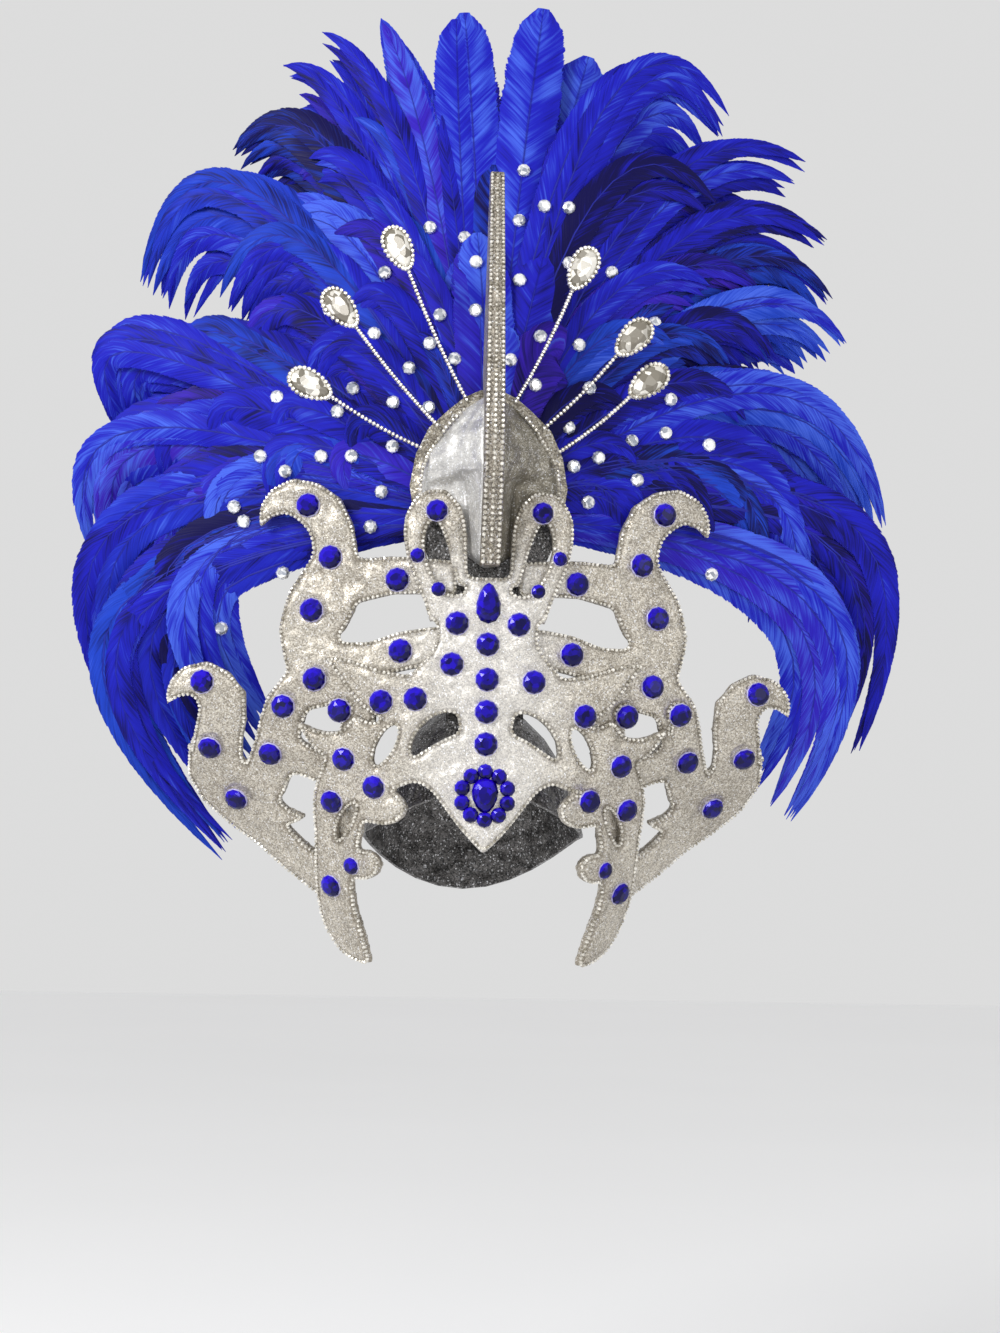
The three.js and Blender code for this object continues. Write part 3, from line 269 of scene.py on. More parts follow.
def padded_plate(node, name, voxel, puff, stones=()):
    """The CAD plate with rounded edges and a face that swells away from its edge.

    The places in stones (mm) are where it is levelled for stones that are set later."""
    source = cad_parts[node]
    made = bpy.data.objects.new(name, source.data.copy())
    bpy.context.scene.collection.objects.link(made)
    net = made.modifiers.new("net", "REMESH")
    net.mode, net.voxel_size = "VOXEL", voxel * MM
    soften = made.modifiers.new("soften", "SMOOTH")
    soften.factor, soften.iterations = 0.5, 5
    settled = bpy.data.meshes.new_from_object(
        made.evaluated_get(bpy.context.evaluated_depsgraph_get())
    )
    made.modifiers.clear()
    made.data = settled
    edges = edge_loops(source)
    long_edges = [(loop, closed) for loop, closed in edges if length_of(loop) > stone_edge]
    marks = [p for loop, closed in long_edges for p in even_loop(loop, closed, 1.5, 0.0)]
    near = kdtree.KDTree(len(marks))
    for i, mark in enumerate(marks):
        near.insert(mark, i)
    near.balance()
    count = len(settled.vertices)
    spots, normals = np.zeros(count * 3), np.zeros(count * 3)
    settled.vertices.foreach_get("co", spots)
    settled.vertex_normals.foreach_get("vector", normals)
    spots, normals = spots.reshape(-1, 3), normals.reshape(-1, 3)
    behind = spots[:, 1] / MM - face_y(spots[:, 0] / MM, spots[:, 2] / MM)
    for x, z in stones:
        near_by = np.hypot(spots[:, 0] / MM - x, spots[:, 2] / MM - z)
        ring = (near_by > mound_reach) & (near_by < 13) & (normals[:, 1] < -0.5)
        level = np.median(behind[ring])
        mound = (near_by < mound_reach) & (behind < level)
        spots[mound, 1] += (level - behind[mound]) * MM
    away = np.array([near.find(spot)[2] for spot in spots / MM]) if marks else np.full(count, 20.0)
    inland = settled.attributes.new("inland", "FLOAT", "POINT")
    inland.data.foreach_set("value", away / 10)
    facing = (normals * faces_out(spots[:, 0] / MM, spots[:, 2] / MM)).sum(axis=1)
    swell = np.clip((away - 2.4) / 6.5, 0, 1)
    swell = np.sqrt(1 - (1 - swell) ** 2) * np.where(facing > 0.3, facing, 0)
    spots = spots + normals * (puff * swell * MM)[:, None]
    settled.vertices.foreach_set("co", spots.ravel())
    settled.update()
    made.data.materials.clear()
    made.data.materials.append(silver)
    settled.polygons.foreach_set("use_smooth", [True] * len(settled.polygons))
    return made, edges


# Crystal cup chain: clear stones about 2.6 mm wide in silver cups, glued along the
# edges of the glitter plates, down the fin and along the wires of the sprays.
def new_mesh(name, points, faces, material, smooth=False):
    mesh = bpy.data.meshes.new(name)
    mesh.from_pydata([tuple(p) for p in points], [], [tuple(f) for f in faces])
    mesh.polygons.foreach_set("use_smooth", [smooth] * len(mesh.polygons))
    mesh.materials.append(material)
    mesh.update()
    made = bpy.data.objects.new(name, mesh)
    bpy.context.scene.collection.objects.link(made)
    return made


class Heap:
    """Many small forms gathered into one mesh."""

    def __init__(self):
        self.points, self.faces = [], []

    def add(self, points, faces):
        first = len(self.points)
        self.points.extend(points)
        self.faces.extend([tuple(first + i for i in face) for face in faces])


crystal, ink, send = new_skin("chain_crystal", (0.86, 0.86, 0.85), 0.12, 0.35, Coat_Weight=0.6)
place = ink.node("ShaderNodeTexCoord", out=3)
cell = ink.node("ShaderNodeTexVoronoi", None, {"Vector": place, "Scale": 380.0}, out=1)
spark = ink.node("ShaderNodeSeparateColor", None, {0: cell})
send(
    Base_Color=spark.mix((0.3, 0.27, 0.21, 1), (0.92, 0.89, 0.82, 1)),
    Roughness=spark.between(0, 1, 0.08, 0.35),
)


def bead(heap, seat, out, width):
    """One stone of the chain in its cup."""
    right = Vector((0, 0, 1)).cross(out)
    right = right.normalized() if right.length > 0.1 else Vector((1, 0, 0))
    top = out.cross(right)
    points, faces = [], []
    for share, height in ((1.05, -0.3), (1.05, 0.22), (0.55, 0.62)):
        for i in range(6):
            turn = i / 6 * math.tau
            flat = right * (math.sin(turn) * share) + top * (math.cos(turn) * share)
            points.append(seat + flat * (width / 2 * MM) + out * (height * width * MM))
    for r in range(2):
        for i in range(6):
            a, b = r * 6 + i, r * 6 + (i + 1) % 6
            faces.append((a, a + 6, b + 6, b))
    faces.append([12 + i for i in reversed(range(6))])
    heap.add(points, faces)


def chain_on(plate, loops, name, pitch=3.2, inset=1.6):
    """Chain along every edge of a plate but those round its stones."""
    surface = BVHTree.FromObject(plate, bpy.context.evaluated_depsgraph_get())
    heap = Heap()
    for loop, closed in loops:
        if length_of(loop) < stone_edge:
            continue
        for spot in even_loop(loop, closed, pitch, inset):
            out = face_out(spot.x, spot.z)
            found, normal, _, _ = surface.ray_cast(spot * MM + out * 0.02, -out, 0.034)
            if found is None:
                continue
            bead(heap, found, (normal + out).normalized(), 2.7)
    return new_mesh(name, heap.points, heap.faces, crystal)


# Front panel: foam about 5.5 mm thick cut as a column with swan-neck loops,
# wings, thorns and cheek pieces, covered in glitter cloth, glued to the scrolls.
panel, panel_edges = padded_plate("front_panel", "front_panel_cloth", 1.7, 2.0)
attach(panel, "root")
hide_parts("front_panel")
panel_chain = chain_on(panel, panel_edges, "front_panel_cups")
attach(panel_chain, "root")
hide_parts("front_panel_chain")

# Scroll plates: the same padded foam, set behind the front panel and swept back,
# each with its own chained edge.
# where their stones go: across and up, in shares of the plate's reach and rise
scroll_rows = [
    (0.62, 1.02), (0.54, 0.876), (0.6, 0.73), (0.585, 0.54), (0.69, 0.465), (0.73, 0.335),
    (0.97, 0.53), (0.94, 0.35), (0.845, 0.21), (0.295, 0.62), (0.31, 0.815), (0.497, 0.455),
]
scroll_reach, scroll_rise = 200, 250
seats = {}
for side, way in (("left", -1), ("right", 1)):
    seats[side] = [(way * x * scroll_reach, z * scroll_rise) for x, z in scroll_rows]
    scroll, edges = padded_plate(f"scroll_{side}", f"scroll_cloth_{side}", 1.8, 2.0, seats[side])
    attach(scroll, "root")
    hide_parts(f"scroll_{side}")
    cups = chain_on(scroll, edges, f"scroll_cups_{side}")
    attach(cups, "root")
    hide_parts(f"scroll_chain_{side}")

# Crest shield: a hollow keeled form of foam under glitter cloth, glued to the
# board behind the loops; a chain runs up each upper edge.
shield, _ = padded_plate("crest_shield", "crest_shield_cloth", 1.5, 0.0)
shield.data.materials[0] = shield_silver
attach(shield, "root")
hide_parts("crest_shield")


def beads_along(points, pitch, width, heap, outs):
    """Beads at a steady pitch along a line of points (metres), facing outs."""
    for i in range(len(points) - 1):
        a, b = points[i], points[i + 1]
        steps = max(1, round((b - a).length / (pitch * MM)))
        for k in range(steps):
            share = k / steps
            bead(heap, a.lerp(b, share), outs[i].lerp(outs[i + 1], share).normalized(), width)


# the chain's way up one edge: across and up from the seat of the head, in mm
rim = [
    (47.8, 262), (47.4, 272), (46.5, 281), (42, 291), (31, 309), (24, 317), (16, 324), (9.5, 328),
]


def hit(tree, x, z):
    """Where a line from the front meets a surface at x, z (mm), and its normal."""
    spot, normal, _, _ = tree.ray_cast(Vector((x * MM, -0.26, z * MM)), Vector((0, 1, 0)))
    if spot is None:
        return None, None
    return spot, normal if normal.y < 0 else -normal


shield_tree = BVHTree.FromObject(shield, bpy.context.evaluated_depsgraph_get())
for side, way in (("left", -1), ("right", 1)):
    heap = Heap()
    spots, outs = [], []
    for x, z in rim:
        spot, normal = hit(shield_tree, way * x, z)
        if spot is None:
            spot, normal = Vector((way * x * MM, -0.106, z * MM)), Vector((0, -1, 0))
        spots.append(spot)
        outs.append((normal + Vector((0, -1.5, 0))).normalized())
    beads_along(spots, 3.1, 2.7, heap, outs)
    cups = new_mesh(f"crest_cups_{side}", heap.points, heap.faces, crystal)
    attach(cups, "root")
    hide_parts(f"crest_chain_{side}")

# Fin: a foam blade under brown-grey glitter cloth, 14 mm thick and 10 mm at its
# top, glued on the shield's nose edge to the viewer, three rows of chain down it.
fin, _ = padded_plate("crest_fin", "crest_fin_cloth", 1.3, 0.0)
fin.data.materials[0] = bronze


def fin_narrow(z):
    """How much thinner the fin is at a height (mm) than lower down."""
    return np.interp(z, (300, 484), (1.0, 0.7))


for vertex in fin.data.vertices:
    vertex.co.x *= fin_narrow(vertex.co.z / MM)
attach(fin, "root")
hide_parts("crest_fin")
fin_tree = BVHTree.FromObject(fin, bpy.context.evaluated_depsgraph_get())
heap = Heap()
chain_foot, chain_top = 215.5, 482.5
for across in (-5.2, 0.0, 5.2):
    z = chain_foot
    while z < chain_top:
        narrow = fin_narrow(z)
        spot, normal = hit(fin_tree, across * narrow, z)
        if spot is not None:
            bead(heap, spot, Vector((0, normal.y, normal.z)).normalized(), 3.0 * narrow)
        z += 3.6 * narrow
fin_cups = new_mesh("crest_fin_cups", heap.points, heap.faces, crystal)
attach(fin_cups, "root")
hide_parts("crest_fin_chain")

# Blue stones: royal blue faceted acrylic, foiled behind, 9 to 16 mm across, each
# glued on with a thin pale rim of glue round it.
blue, ink, send = new_skin("blue_acrylic", (0.012, 0.004, 0.36), 0.09, 0.1, Specular_IOR_Level=0.28)
normal = ink.node("ShaderNodeNewGeometry", out=1)
lean = ink.node("ShaderNodeSeparateXYZ", None, {0: normal})
lit = ink.node("ShaderNodeSeparateXYZ", None, {0: normal}, out=2)
# Painted light: facets that face up and to the left, toward the key lamp, are lighter; cells of
# painted reflection from the foil behind are lighter and darker.
painted_facet_light = (lit * 0.9 - lean * 0.5 + 0.5).between(0.1, 1.1)
place = ink.node("ShaderNodeTexCoord", out=3)
cell = ink.node("ShaderNodeTexVoronoi", None, {"Vector": place, "Scale": 260.0}, out=1)
painted_foil_reflection = ink.node("ShaderNodeSeparateColor", None, {0: cell})
deep = (painted_facet_light * 0.65 + painted_foil_reflection * 0.5 - 0.12).between(0.05, 0.95)
send(Base_Color=deep.mix((0.001, 0.0, 0.05, 1), (0.016, 0.002, 0.56, 1)))


def cut_stone(heap, seat, out, size, rise, sides=10, point=0.0, up=Vector((0, 0, 1))):
    """A brilliant: girdle, two rows of crown facets and a table."""
    right = up.cross(-out).normalized()
    top = (-out).cross(right).normalized()
    rows = [(0.96, -0.3, 0), (1, 0.12, 0), (0.86, 0.62, 0.5), (0.52, 1, 0)]
    points, faces = [], []
    for share, height, shift in rows:
        for i in range(sides):
            turn = (i + shift) / sides * math.tau
            narrow = 1 - abs(point) * 0.5 * (1 + math.copysign(1, point) * math.cos(turn))
            flat = right * (math.sin(turn) * share * size[0] / 2 * narrow)
            flat = flat + top * (math.cos(turn) * share * size[1] / 2)
            points.append(seat + flat * MM + out * (height * rise * MM))
    for r in range(len(rows) - 1):
        step = 1 if rows[r + 1][2] <= rows[r][2] else 0
        for i in range(sides):
            a, b = r * sides + i, r * sides + (i + 1) % sides
            c, d = a + sides, b + sides
            if rows[r][2] == rows[r + 1][2]:
                faces.append((a, b, d, c))
            elif step == 0:
                faces += [(a, b, c), (b, d, c)]
            else:
                faces += [(a, d, c), (a, b, d)]
    faces.append([(len(rows) - 1) * sides + i for i in range(sides)])
    heap.add(points, faces)


glue, ink, send = new_skin("glue_rim", (0.5, 0.48, 0.72), 0.35, 0.1)
place = ink.node("ShaderNodeTexCoord", out=3)
smear = ink.node("ShaderNodeTexNoise", None, {"Vector": place, "Scale": 300.0})
send(
    Base_Color=smear.mix((0.22, 0.19, 0.5, 1), (0.6, 0.58, 0.74, 1)),
    Roughness=smear.between(0, 1, 0.2, 0.5),
)


def glue_rim(heap, seat, out, size):
    """The pale rim of glue round a stone."""
    right = Vector((0, 0, 1)).cross(-out).normalized()
    top = (-out).cross(right).normalized()
    points, faces = [], []
    for share, height in ((1.05, -0.6), (1.045, 0.2), (0.9, 0.45)):
        for i in range(14):
            turn = i / 14 * math.tau
            flat = right * (math.sin(turn) * share * size[0] / 2)
            flat = flat + top * (math.cos(turn) * share * size[1] / 2)
            points.append(seat + flat * MM + out * (height * MM))
    for r in range(2):
        for i in range(14):
            a, b = r * 14 + i, r * 14 + (i + 1) % 14
            faces.append((a, b, b + 14, a + 14))
    heap.add(points, faces)


def set_stones(name, tree, stones, heap_rims):
    """Stones seated on a plate: rows of x, z, width, height, rise, point."""
    heap = Heap()
    for x, z, wide, tall, rise, point in stones:
        spot, _ = hit(tree, x, z)
        out = face_out(x, z)
        if spot is None:
            continue
        sides = 12 if point else 10
        cut_stone(heap, spot + out * (0.5 * MM), out, (wide, tall), rise, sides, point)
        if not point:
            glue_rim(heap_rims, spot, out, (wide, tall))
    return new_mesh(name, heap.points, heap.faces, blue)


panel_tree = BVHTree.FromObject(panel, bpy.context.evaluated_depsgraph_get())
rims = Heap()
for label in sorted(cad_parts):
    if label.startswith("front_stone_") or label.startswith("loop_"):
        a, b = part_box(label)
        middle, tall = (a + b) / 2 / MM, (b - a).z / MM
        wide, rise = tall * 1.08, tall * 0.28
        round_one = (middle.x, middle.z, wide, wide, rise, 0)
        stone = set_stones(f"cut_{label}", panel_tree, [round_one], rims)
        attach(stone, "root")
        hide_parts(label)
drop = set_stones("cut_front_drop", panel_tree, [(0, 188, 21.5, 28, 5, 0.45)], rims)
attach(drop, "root")
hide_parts("front_drop_stone")
scroll_stone = (16.4, 16.4)
for side in ("left", "right"):
    plate = bpy.data.objects[f"scroll_cloth_{side}"]
    tree = BVHTree.FromObject(plate, bpy.context.evaluated_depsgraph_get())
    heap = Heap()
    for x, z in seats[side]:
        out = face_out(x, z)
        seat, _ = hit(tree, x, z)
        cut_stone(heap, seat + out * (0.5 * MM), out, scroll_stone, 4.2)
        glue_rim(rims, seat, out, scroll_stone)
    stones = new_mesh(f"scroll_stones_{side}", heap.points, heap.faces, blue)
    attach(stones, "root")

# Forehead brooch: a drop stone, point down, in a ring of ten round ones that
# all but touch, glued straight onto the forehead point of the front.
brooch_up, ring, ring_count = 57, 16.2, 10
heap = Heap()
spot, _ = hit(panel_tree, 0, brooch_up)
out = face_out(0, brooch_up)
cut_stone(heap, spot + out * 0.0012, out, (21.5, 24), 5.6, 14, -0.35)
for i in range(ring_count):
    turn = i / ring_count * math.tau
    x, z = ring * math.sin(turn), brooch_up + ring * math.cos(turn)
    spot, _ = hit(panel_tree, x, z)
    cut_stone(heap, spot + out * 0.0008, face_out(x, z), (11, 11), 3.4)
brooch = new_mesh("brooch_stones", heap.points, heap.faces, blue)
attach(brooch, "root")
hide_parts("forehead_brooch")
rim_mesh = new_mesh("glue_rims", rims.points, rims.faces, glue, smooth=True)
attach(rim_mesh, "root")

# Crystal sprays: a wire wrapped in tiny chain, that runs up from behind the shield to
# a pear setting with a row of small stones round one large pear crystal.
pear_glass, ink, send = new_skin(
    "pear_crystal", (0.6, 0.57, 0.52), 0.16, 0.1, Specular_IOR_Level=0.4
)
place = ink.node("ShaderNodeTexCoord", out=3)
flash = ink.node("ShaderNodeTexVoronoi", None, {"Vector": place, "Scale": 190.0}, out=1)
glint = ink.node("ShaderNodeSeparateColor", None, {0: flash})
send(
    Base_Color=glint.between(0.2, 0.85).mix((0.2, 0.18, 0.145, 1), (0.86, 0.83, 0.76, 1)),
    Roughness=glint.between(0, 1, 0.03, 0.22),
)
# where the three wires of a side come out over the shield: across and up, in mm
roots = {"1": (17, 329), "2": (37, 311), "3": (48, 295)}
root_y, head_y, seat_y = -0.102, -0.117, -0.1205
bends, cup_count = 13, 26


def pear_edge(turn, wide, tall):
    """A point of a pear's outline, its narrow end toward the wire."""
    narrow = 1 - 0.175 * (1 + math.cos(turn))
    return right * (wide * math.sin(turn) * narrow * MM) + toward * (tall * math.cos(turn) * MM)


for label in ("left_1", "left_2", "left_3", "right_1", "right_2", "right_3"):
    a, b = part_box(f"spray_crystal_{label}")
    head = (a + b) / 2
    way_x = -1 if label.startswith("left") else 1
    across, up = roots[label[-1]]
    root = Vector((way_x * across * MM, root_y, up * MM))
    toward = Vector((root.x - head.x, 0, root.z - head.z)).normalized()
    heap, glass = Heap(), Heap()
    out = Vector((0, -1, 0))
    neck = head + toward * 0.0145
    bow = Vector((toward.z, 0, -toward.x)) * (-0.0018 * way_x)
    line = []
    for i in range(bends):
        s = i / (bends - 1)
        spot = root.lerp(neck, s) + bow * (4 * s * (1 - s))
        spot.y = root_y + (head_y - root_y) * min(1, s * 1.15)
        line.append(spot)
    beads_along(line, 2.5, 2.9, heap, [out] * bends)
    right = Vector((-toward.z, 0, toward.x))
    seat = Vector((head.x, seat_y, head.z))
    for i in range(cup_count):
        bead(heap, seat + pear_edge(i / cup_count * math.tau, 10.6, 15.2), out, 3.3)
    cut_stone(glass, seat - out * 0.0006, out, (19.5, 29), 6.0, 14, 0.35, up=toward)
    back = [seat - out * 0.0012 + pear_edge(i / 16 * math.tau, 11, 15.8) for i in range(16)]
    heap.add(back, [tuple(range(16))])
    setting = new_mesh(f"spray_setting_{label}", heap.points, heap.faces, crystal)
    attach(setting, "root")
    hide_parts(f"spray_{label}")
    pear = new_mesh(f"spray_pear_{label}", glass.points, glass.faces, pear_glass)
    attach(pear, "root")
    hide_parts(f"spray_crystal_{label}")

# Plumes: some 740 cock's tail feathers dyed royal blue, 130 to 370 mm
# long, bunched in locks that are sewn to the backing and droop outward.
dice = np.random.default_rng(11)
fan_heart, fan_length = 245, 350
feather, ink, send = new_skin("feather_dye_sheen_and_shade", (0.02, 0.02, 0.5), 0.5, Specular_IOR_Level=0.13)
vane = ink.node("ShaderNodeUVMap", {"uv_map": "vane"})
u, v = [ink.node("ShaderNodeSeparateXYZ", None, {0: vane}, out=i) for i in (0, 1)]
dye_and_shade = ink.node("ShaderNodeAttribute", {"attribute_name": "dye_and_shade"})
luck, shade, seed = [ink.node("ShaderNodeSeparateColor", None, {0: dye_and_shade}, out=i) for i in (0, 1, 2)]
off = (u - 0.5).size() * 2
slant = v - off * 0.05
streak_at = ink.node(
    "ShaderNodeCombineXYZ", None, {0: slant * 170 + seed * 70, 1: u * 1.4, 2: seed * 9}
)
streak = ink.node("ShaderNodeTexNoise", None, {"Vector": streak_at, "Scale": 1.0, "Detail": 2.0})
clump_at = ink.node(
    "ShaderNodeCombineXYZ", None, {0: slant * 22 + seed * 31, 1: u * 2.0, 2: seed * 5}
)
clump = ink.node("ShaderNodeTexNoise", None, {"Vector": clump_at, "Scale": 1.0, "Detail": 1.0})
hue = luck.between(0.62, 0.85).mix((0.009, 0.01, 0.41, 1), (0.035, 0.011, 0.41, 1))
blue_hue = luck.between(0.1, 0.32).mix((0.009, 0.045, 0.46, 1), hue)
# Painted light and shade: light sums the attribute's tone and painted shade with the barbs and
# clumps; its low end turns to a painted navy shadow, its high end to a painted light-blue sheen.
light = shade + (streak - 0.5) * 1.0 + (clump - 0.5) * 0.9
deep = light.between(0.04, 0.6).mix((0.002, 0.001, 0.055, 1), blue_hue)
dye_and_sheen = (light.between(0.58, 1.1) * 0.85).mix(deep, (0.06, 0.13, 0.7, 1))
shaft = off.between(0.0, 0.07, 0.6, 0.0)
send(
    Base_Color=shaft.mix(dye_and_sheen, (0.004, 0.004, 0.14, 1)),
    Roughness=streak.between(0.2, 0.8, 0.42, 0.66),
    Normal=ink.node("ShaderNodeBump", None, {"Height": streak, "Strength": 0.4, "Distance": 0.001}),
    Alpha=(off + streak * 0.4 * off + clump * 0.25).between(1.25, 1.3, 1.0, 0.0),
)
# the long locks, round from the low left: the tip, the point it bows over on
# the way there (shares of the fan's length from its heart), and its width
locks = [
    (-0.51, -0.66, -1.14, 0.01, 0.9), (-0.7, -0.41, -0.99, 0.24, 1),
    (-0.75, -0.09, -0.96, 0.44, 1), (-0.69, 0.15, -0.95, 0.64, 1), (-0.68, 0.5, -0.55, 1.0, 1),
    (-0.51, 0.78, -0.3, 1.02, 1), (-0.41, 0.96, -0.21, 0.98, 0.7),
    (-0.33, 1.02, -0.14, 0.93, 0.7), (-0.21, 1.05, -0.1, 0.84, 1.2),
    (-0.05, 1.06, -0.03, 0.58, 1.6), (0.11, 1.07, 0.05, 0.57, 1.5), (0.2, 1.0, 0.1, 0.6, 1.6),
    (0.49, 0.87, 0.19, 1.26, 1), (0.66, 0.78, 0.31, 0.93, 0.8), (0.7, 0.63, 0.39, 0.85, 0.8),
    (0.71, 0.51, 0.47, 0.79, 0.8), (0.74, 0.41, 0.53, 0.66, 0.9), (0.84, 0.05, 0.65, 0.56, 1),
    (0.77, -0.41, 1.0, 0.3, 1), (0.65, -0.56, 0.98, 0.07, 0.9),
]
tiers = [
    # length of its locks, places among the long ones, feathers in a lock, tip's y, how much painted
    # shade darkens it
    (1.0, list(range(20)), 11, 10, 0.0),
    (0.84, [x + 0.5 for x in range(18) if x != 3], 8, -6, -0.2),
    (0.8, [0.3, 1.3, 2.4, 3.3, 4.2, 4.8, 5.7, 7, 8.6, 10.2, 11.2, 12.4, 14, 15.4, 16.4, 17.2, 17.6],
     9, -20, 0.02),
    (0.68, [1.8, 2.9, 3.8, 4.5, 5.4, 6.6, 9.4, 11.8, 13.2, 15, 16.2, 17.4], 8, -40, -0.05),
    (0.54, [2.4, 3.2, 4.1, 5, 7, 9, 11, 13.5, 16, 17.2], 8, -60, -0.02),
    (0.38, [2.9, 3.5, 4.6, 6.5, 9.5, 11.6, 14, 16.2, 17.3], 6, -74, -0.1),
]


def lock_point(place, key):
    """A point of the lock at a place among the long ones, or between two of them."""
    first = int(place)
    share = place - first
    second = min(first + 1, 19)
    before, after = np.array(locks[first][key:key + 2]), np.array(locks[second][key:key + 2])
    return before * (1 - share) + after * share


def turned(way, degrees):
    turn = math.radians(degrees)
    return np.array([
        way[0] * math.cos(turn) + way[1] * math.sin(turn),
        way[1] * math.cos(turn) - way[0] * math.sin(turn),
    ])


tip_key, over_key = 0, 2
profile_at = [0, 0.06, 0.2, 0.45, 0.7, 0.86, 0.95, 1.0]
profile_wide = [0.2, 0.45, 0.8, 1.0, 0.84, 0.52, 0.27, 0.02]
profile_round = [0.2, 0.4, 0.65, 0.85, 1.0, 1.0, 0.85, 0.2]
columns = np.linspace(-1, 1, 5)
steps = np.linspace(0, 1, 25)
feather_points, feather_faces, feather_uv, feather_dye_and_shade = [], [], [], []
quill_points, quill_faces = [], []
for length, places, count, tip_y, painted_tier_shade in tiers:
    for place in places:
        lock_tint = dice.uniform(0, 1)
        # Each lock's tone at random, partly its dye and partly painted shade and light between the
        # locks, with the tier's painted shade added.
        lock_tone_and_shade = dice.uniform(0.2, 0.85) + painted_tier_shade
        lift = dice.uniform(-5, 5)
        wide = locks[int(place)][4]
        for k in range(count):
            aside = (k + 0.5) / count * 2 - 1
            trim = 1.04 - 0.17 * abs(aside) ** 1.3 + dice.uniform(-0.03, 0.015)
            reach = fan_length * length * trim
            over = turned(lock_point(place, over_key), aside * 6.6 * wide + dice.uniform(-1.5, 1.5))
            tip = turned(lock_point(place, tip_key), aside * 0.6 * wide + dice.uniform(-0.6, 0.6))
            over, tip = over * reach, tip * reach
            over = over * (1 + dice.uniform(-0.04, 0.04))
            x = 2 * steps * (1 - steps) * over[0] + steps**2 * tip[0]
            z = fan_heart + 2 * steps * (1 - steps) * over[1] + steps**2 * tip[1]
            tx, tz = np.gradient(x), np.gradient(z)
            size = np.hypot(tx, tz)
            ax, az = tz / size, -tx / size
            outline = profile_round if wide > 1.3 else profile_wide
            broad = 12.8 * min(wide, 1.5) * dice.uniform(0.85, 1.15)
            half = broad * np.interp(steps, profile_at, outline)
            layer = -90.5 + dice.uniform(0, 3)
            ease = np.cumsum(size) / size.sum()
            y = layer + (tip_y + lift + 5 * aside * aside + dice.uniform(-3, 3) - layer) * ease**1.6
            keep = face_y(np.abs(x) + half * np.abs(az), z) + 17.5
            y = np.maximum(y, np.where(z < 330, keep, y))
            lean = dice.uniform(-0.25, 0.25) + 0.25 * aside
            first = len(feather_points)
            tint = 0.65 * lock_tint + 0.35 * dice.uniform(0, 1)
            grade = lock_tone_and_shade + dice.uniform(-0.16, 0.16)
            luck_seed = dice.uniform(0, 1)
            for i in range(len(steps)):
                for c in columns:
                    drop = (1 - c * c) * half[i] * 0.2
                    feather_points.append((
                        (x[i] + ax[i] * c * half[i]) * MM,
                        (y[i] - drop + lean * c * half[i] * 0.5) * MM,
                        (z[i] + az[i] * c * half[i]) * MM,
                    ))
                    feather_uv.append(((c + 1) / 2, ease[i] * length))
                    # Darker towards the root: painted shade where the feathers crowd at the heart
                    # of the fan.
                    feather_dye_and_shade.append((tint, grade - 0.22 * (1 - steps[i]) ** 2, luck_seed, 1))
            across = len(columns)
            for i in range(len(steps) - 1):
                for c in range(across - 1):
                    a = first + i * across + c
                    feather_faces.append((a, a + 1, a + across + 1, a + across))
            start = len(quill_points)
            for i in range(0, len(steps) - 3, 2):
                thick = 0.8 * (1 - steps[i]) + 0.2
                peak = y[i] - half[i] * 0.2
                for dx, dy in ((-thick, 0.2), (0, -thick * 0.8), (thick, 0.2)):
                    quill_points.append(
                        ((x[i] + ax[i] * dx) * MM, (peak + dy) * MM, (z[i] + az[i] * dx) * MM)
                    )
            for i in range((len(quill_points) - start) // 3 - 1):
                for c in range(2):
                    a = start + i * 3 + c
                    quill_faces.append((a, a + 1, a + 4, a + 3))
plumes = new_mesh("feathers", feather_points, feather_faces, feather, smooth=True)
vane_map = plumes.data.uv_layers.new(name="vane")
corner = np.zeros(len(plumes.data.loops), dtype=np.int32)
plumes.data.loops.foreach_get("vertex_index", corner)
vane_map.data.foreach_set("uv", np.array(feather_uv)[corner].ravel())
dye_and_shade_layer = plumes.data.attributes.new("dye_and_shade", "FLOAT_COLOR", "POINT")
dye_and_shade_layer.data.foreach_set("color", np.array(feather_dye_and_shade).ravel())
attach(plumes, "root")
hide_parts("plume_low_left", "plume_left", "plume_crown", "plume_right", "plume_low_right")
quill_skin, ink, send = new_skin("quill", (0.02, 0.02, 0.2), 0.5, Specular_IOR_Level=0.2)
place = ink.node("ShaderNodeTexCoord", out=3)
worn = ink.node("ShaderNodeTexNoise", None, {"Vector": place, "Scale": 60.0})
send(Base_Color=worn.mix((0.005, 0.005, 0.14, 1), (0.02, 0.03, 0.42, 1)))
quills = new_mesh("quills", quill_points, quill_faces, quill_skin, smooth=True)
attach(quills, "root")

# Clear stones, about 10 mm across with foil behind, glued here and there on the
# feathers in front of where they lie.
stone_glass, ink, send = new_skin("clear_stone", (0.75, 0.77, 0.8), 0.06, 0.6, Coat_Weight=1.0)
place = ink.node("ShaderNodeTexCoord", out=3)
flash = ink.node("ShaderNodeTexVoronoi", None, {"Vector": place, "Scale": 330.0}, out=1)
glint = ink.node("ShaderNodeSeparateColor", None, {0: flash})
send(
    Base_Color=glint.between(0.1, 0.7).mix((0.35, 0.38, 0.45, 1), (1, 1, 1, 1)),
    Roughness=glint.between(0, 1, 0.04, 0.25),
)
plume_tree = BVHTree.FromObject(plumes, bpy.context.evaluated_depsgraph_get())
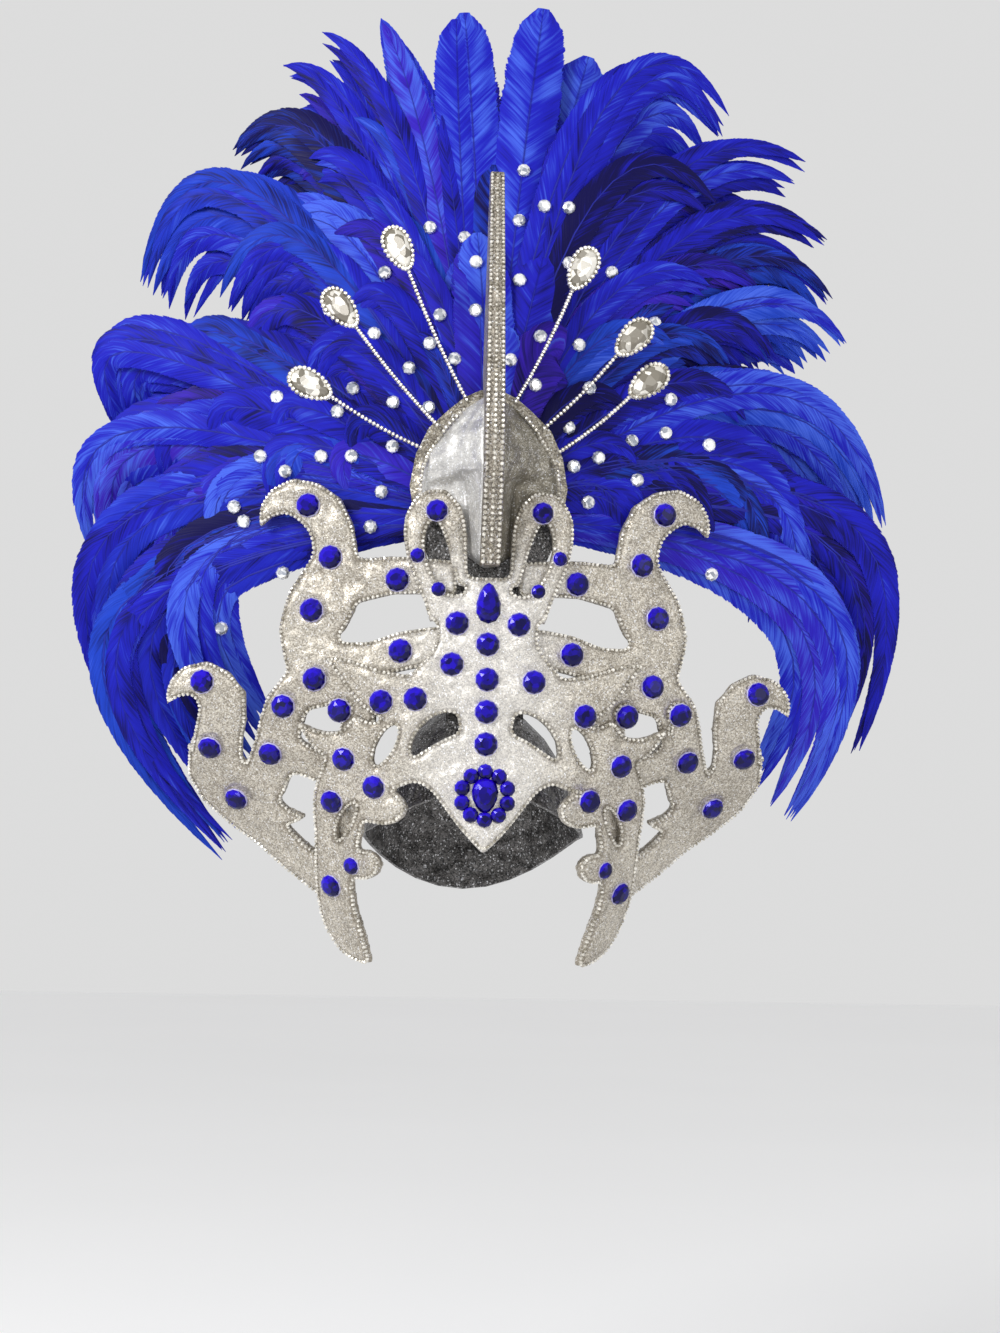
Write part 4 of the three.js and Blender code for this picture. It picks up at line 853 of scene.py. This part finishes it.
# shares of the fan's length: across, and up from the seat of the head
glints = [
    (0.07, 1.44), (-0.12, 1.31), (-0.05, 1.29), (-0.03, 1.23), (-0.03, 1.13), (-0.1, 1.12),
    (-0.12, 1.06), (-0.07, 1.03), (-0.16, 1.01), (-0.12, 0.93), (-0.21, 1.21), (-0.32, 1.13),
    (-0.23, 1.08), (-0.34, 0.97), (-0.27, 0.97), (-0.42, 0.95), (-0.19, 0.94), (-0.3, 0.92),
    (-0.19, 0.85), (-0.45, 0.83), (-0.33, 0.83), (-0.27, 0.83), (-0.4, 0.8), (-0.21, 0.76),
    (-0.5, 0.73), (-0.48, 0.7), (-0.23, 0.69), (-0.4, 0.6), (-0.52, 0.49), (0.11, 1.36),
    (0.16, 1.36), (0.06, 1.33), (0.16, 1.24), (0.25, 1.23), (0.06, 1.2), (0.34, 1.13),
    (0.1, 1.08), (0.18, 1.07), (0.04, 1.03), (0.09, 0.98), (0.2, 0.98), (0.16, 0.9), (0.37, 0.97),
    (0.36, 0.9), (0.29, 0.88), (0.45, 0.88), (0.22, 0.84), (0.17, 0.82), (0.3, 0.8), (0.2, 0.75),
    (0.36, 0.76), (0.43, 0.74), (0.21, 0.63), (0.46, 0.62), (0.39, 0.55), (0.55, 0.5),
    (0.52, 0.47),
]
heap = Heap()
for x, z in glints:
    x, z = x * fan_length, z * fan_length
    spot, normal = hit(plume_tree, x, z)
    if spot is None:
        continue
    out = (normal + Vector((0, -1.2, 0))).normalized()
    cut_stone(heap, spot + out * 0.0009, out, (10, 10), 3.0, 8)
clear = new_mesh("clear_stones", heap.points, heap.faces, stone_glass)
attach(clear, "root")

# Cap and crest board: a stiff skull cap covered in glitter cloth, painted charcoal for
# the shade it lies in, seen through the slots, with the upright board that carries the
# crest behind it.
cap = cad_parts["cap_and_board"]
cap.data.materials.clear()
cap.data.materials.append(shaded_cap_glitter)

# Studio: a white room, a pale floor well below the piece, three soft lamps.
floor_skin, ink, send = new_skin("floor", (0.86, 0.86, 0.87), 0.7)
place = ink.node("ShaderNodeTexCoord", out=3)
cloud = ink.node("ShaderNodeTexNoise", None, {"Vector": place, "Scale": 1.5})
send(Base_Color=cloud.mix((0.93, 0.93, 0.935, 1), (0.97, 0.97, 0.975, 1)))
half, floor_z = 6, -0.42
corners = [(x * half, y * half, floor_z) for x, y in ((-1, -1), (1, -1), (1, 1), (-1, 1))]
floor = new_mesh("floor", corners, [(0, 1, 2, 3)], floor_skin)
world = bpy.data.worlds.new("studio")
world.use_nodes = True
world.node_tree.nodes["Background"].inputs["Color"].default_value = (1, 1, 1, 1)
world.node_tree.nodes["Background"].inputs["Strength"].default_value = 0.72
bpy.context.scene.world = world
bpy.context.scene.view_settings.view_transform = "Standard"
for name, spot, power, size in (
    ("key", (-1.6, -1.5, 1.3), 34, 0.7),
    ("fill", (1.6, -1.6, 0.6), 6, 1.2),
    ("front", (0.1, -2.6, 0.9), 8, 0.5),
):
    lamp = bpy.data.lights.new(name, "AREA")
    lamp.energy, lamp.size = power, size
    holder = bpy.data.objects.new(name, lamp)
    holder.location = spot
    aim = Vector((0, 0, 0.25)) - Vector(spot)
    holder.rotation_euler = aim.to_track_quat("-Z", "Y").to_euler()
    bpy.context.scene.collection.objects.link(holder)

# Camera: nearly level with the face, a little to the viewer's left.
camera = bpy.data.cameras.new("camera")
away, around = 1.95, math.radians(-4.5)
target = Vector((0.0088, -0.112, 0.1452))
seat = target + Vector((math.sin(around), -math.cos(around), -0.06)) * away
holder = bpy.data.objects.new("camera", camera)
holder.location = seat
tilt = (target - seat).to_track_quat("-Z", "Y").to_euler()
tilt.rotate_axis("Z", math.radians(1.1))
holder.rotation_euler = tilt
camera.lens = 36 * away / 0.9064
bpy.context.scene.collection.objects.link(holder)
bpy.context.scene.camera = holder
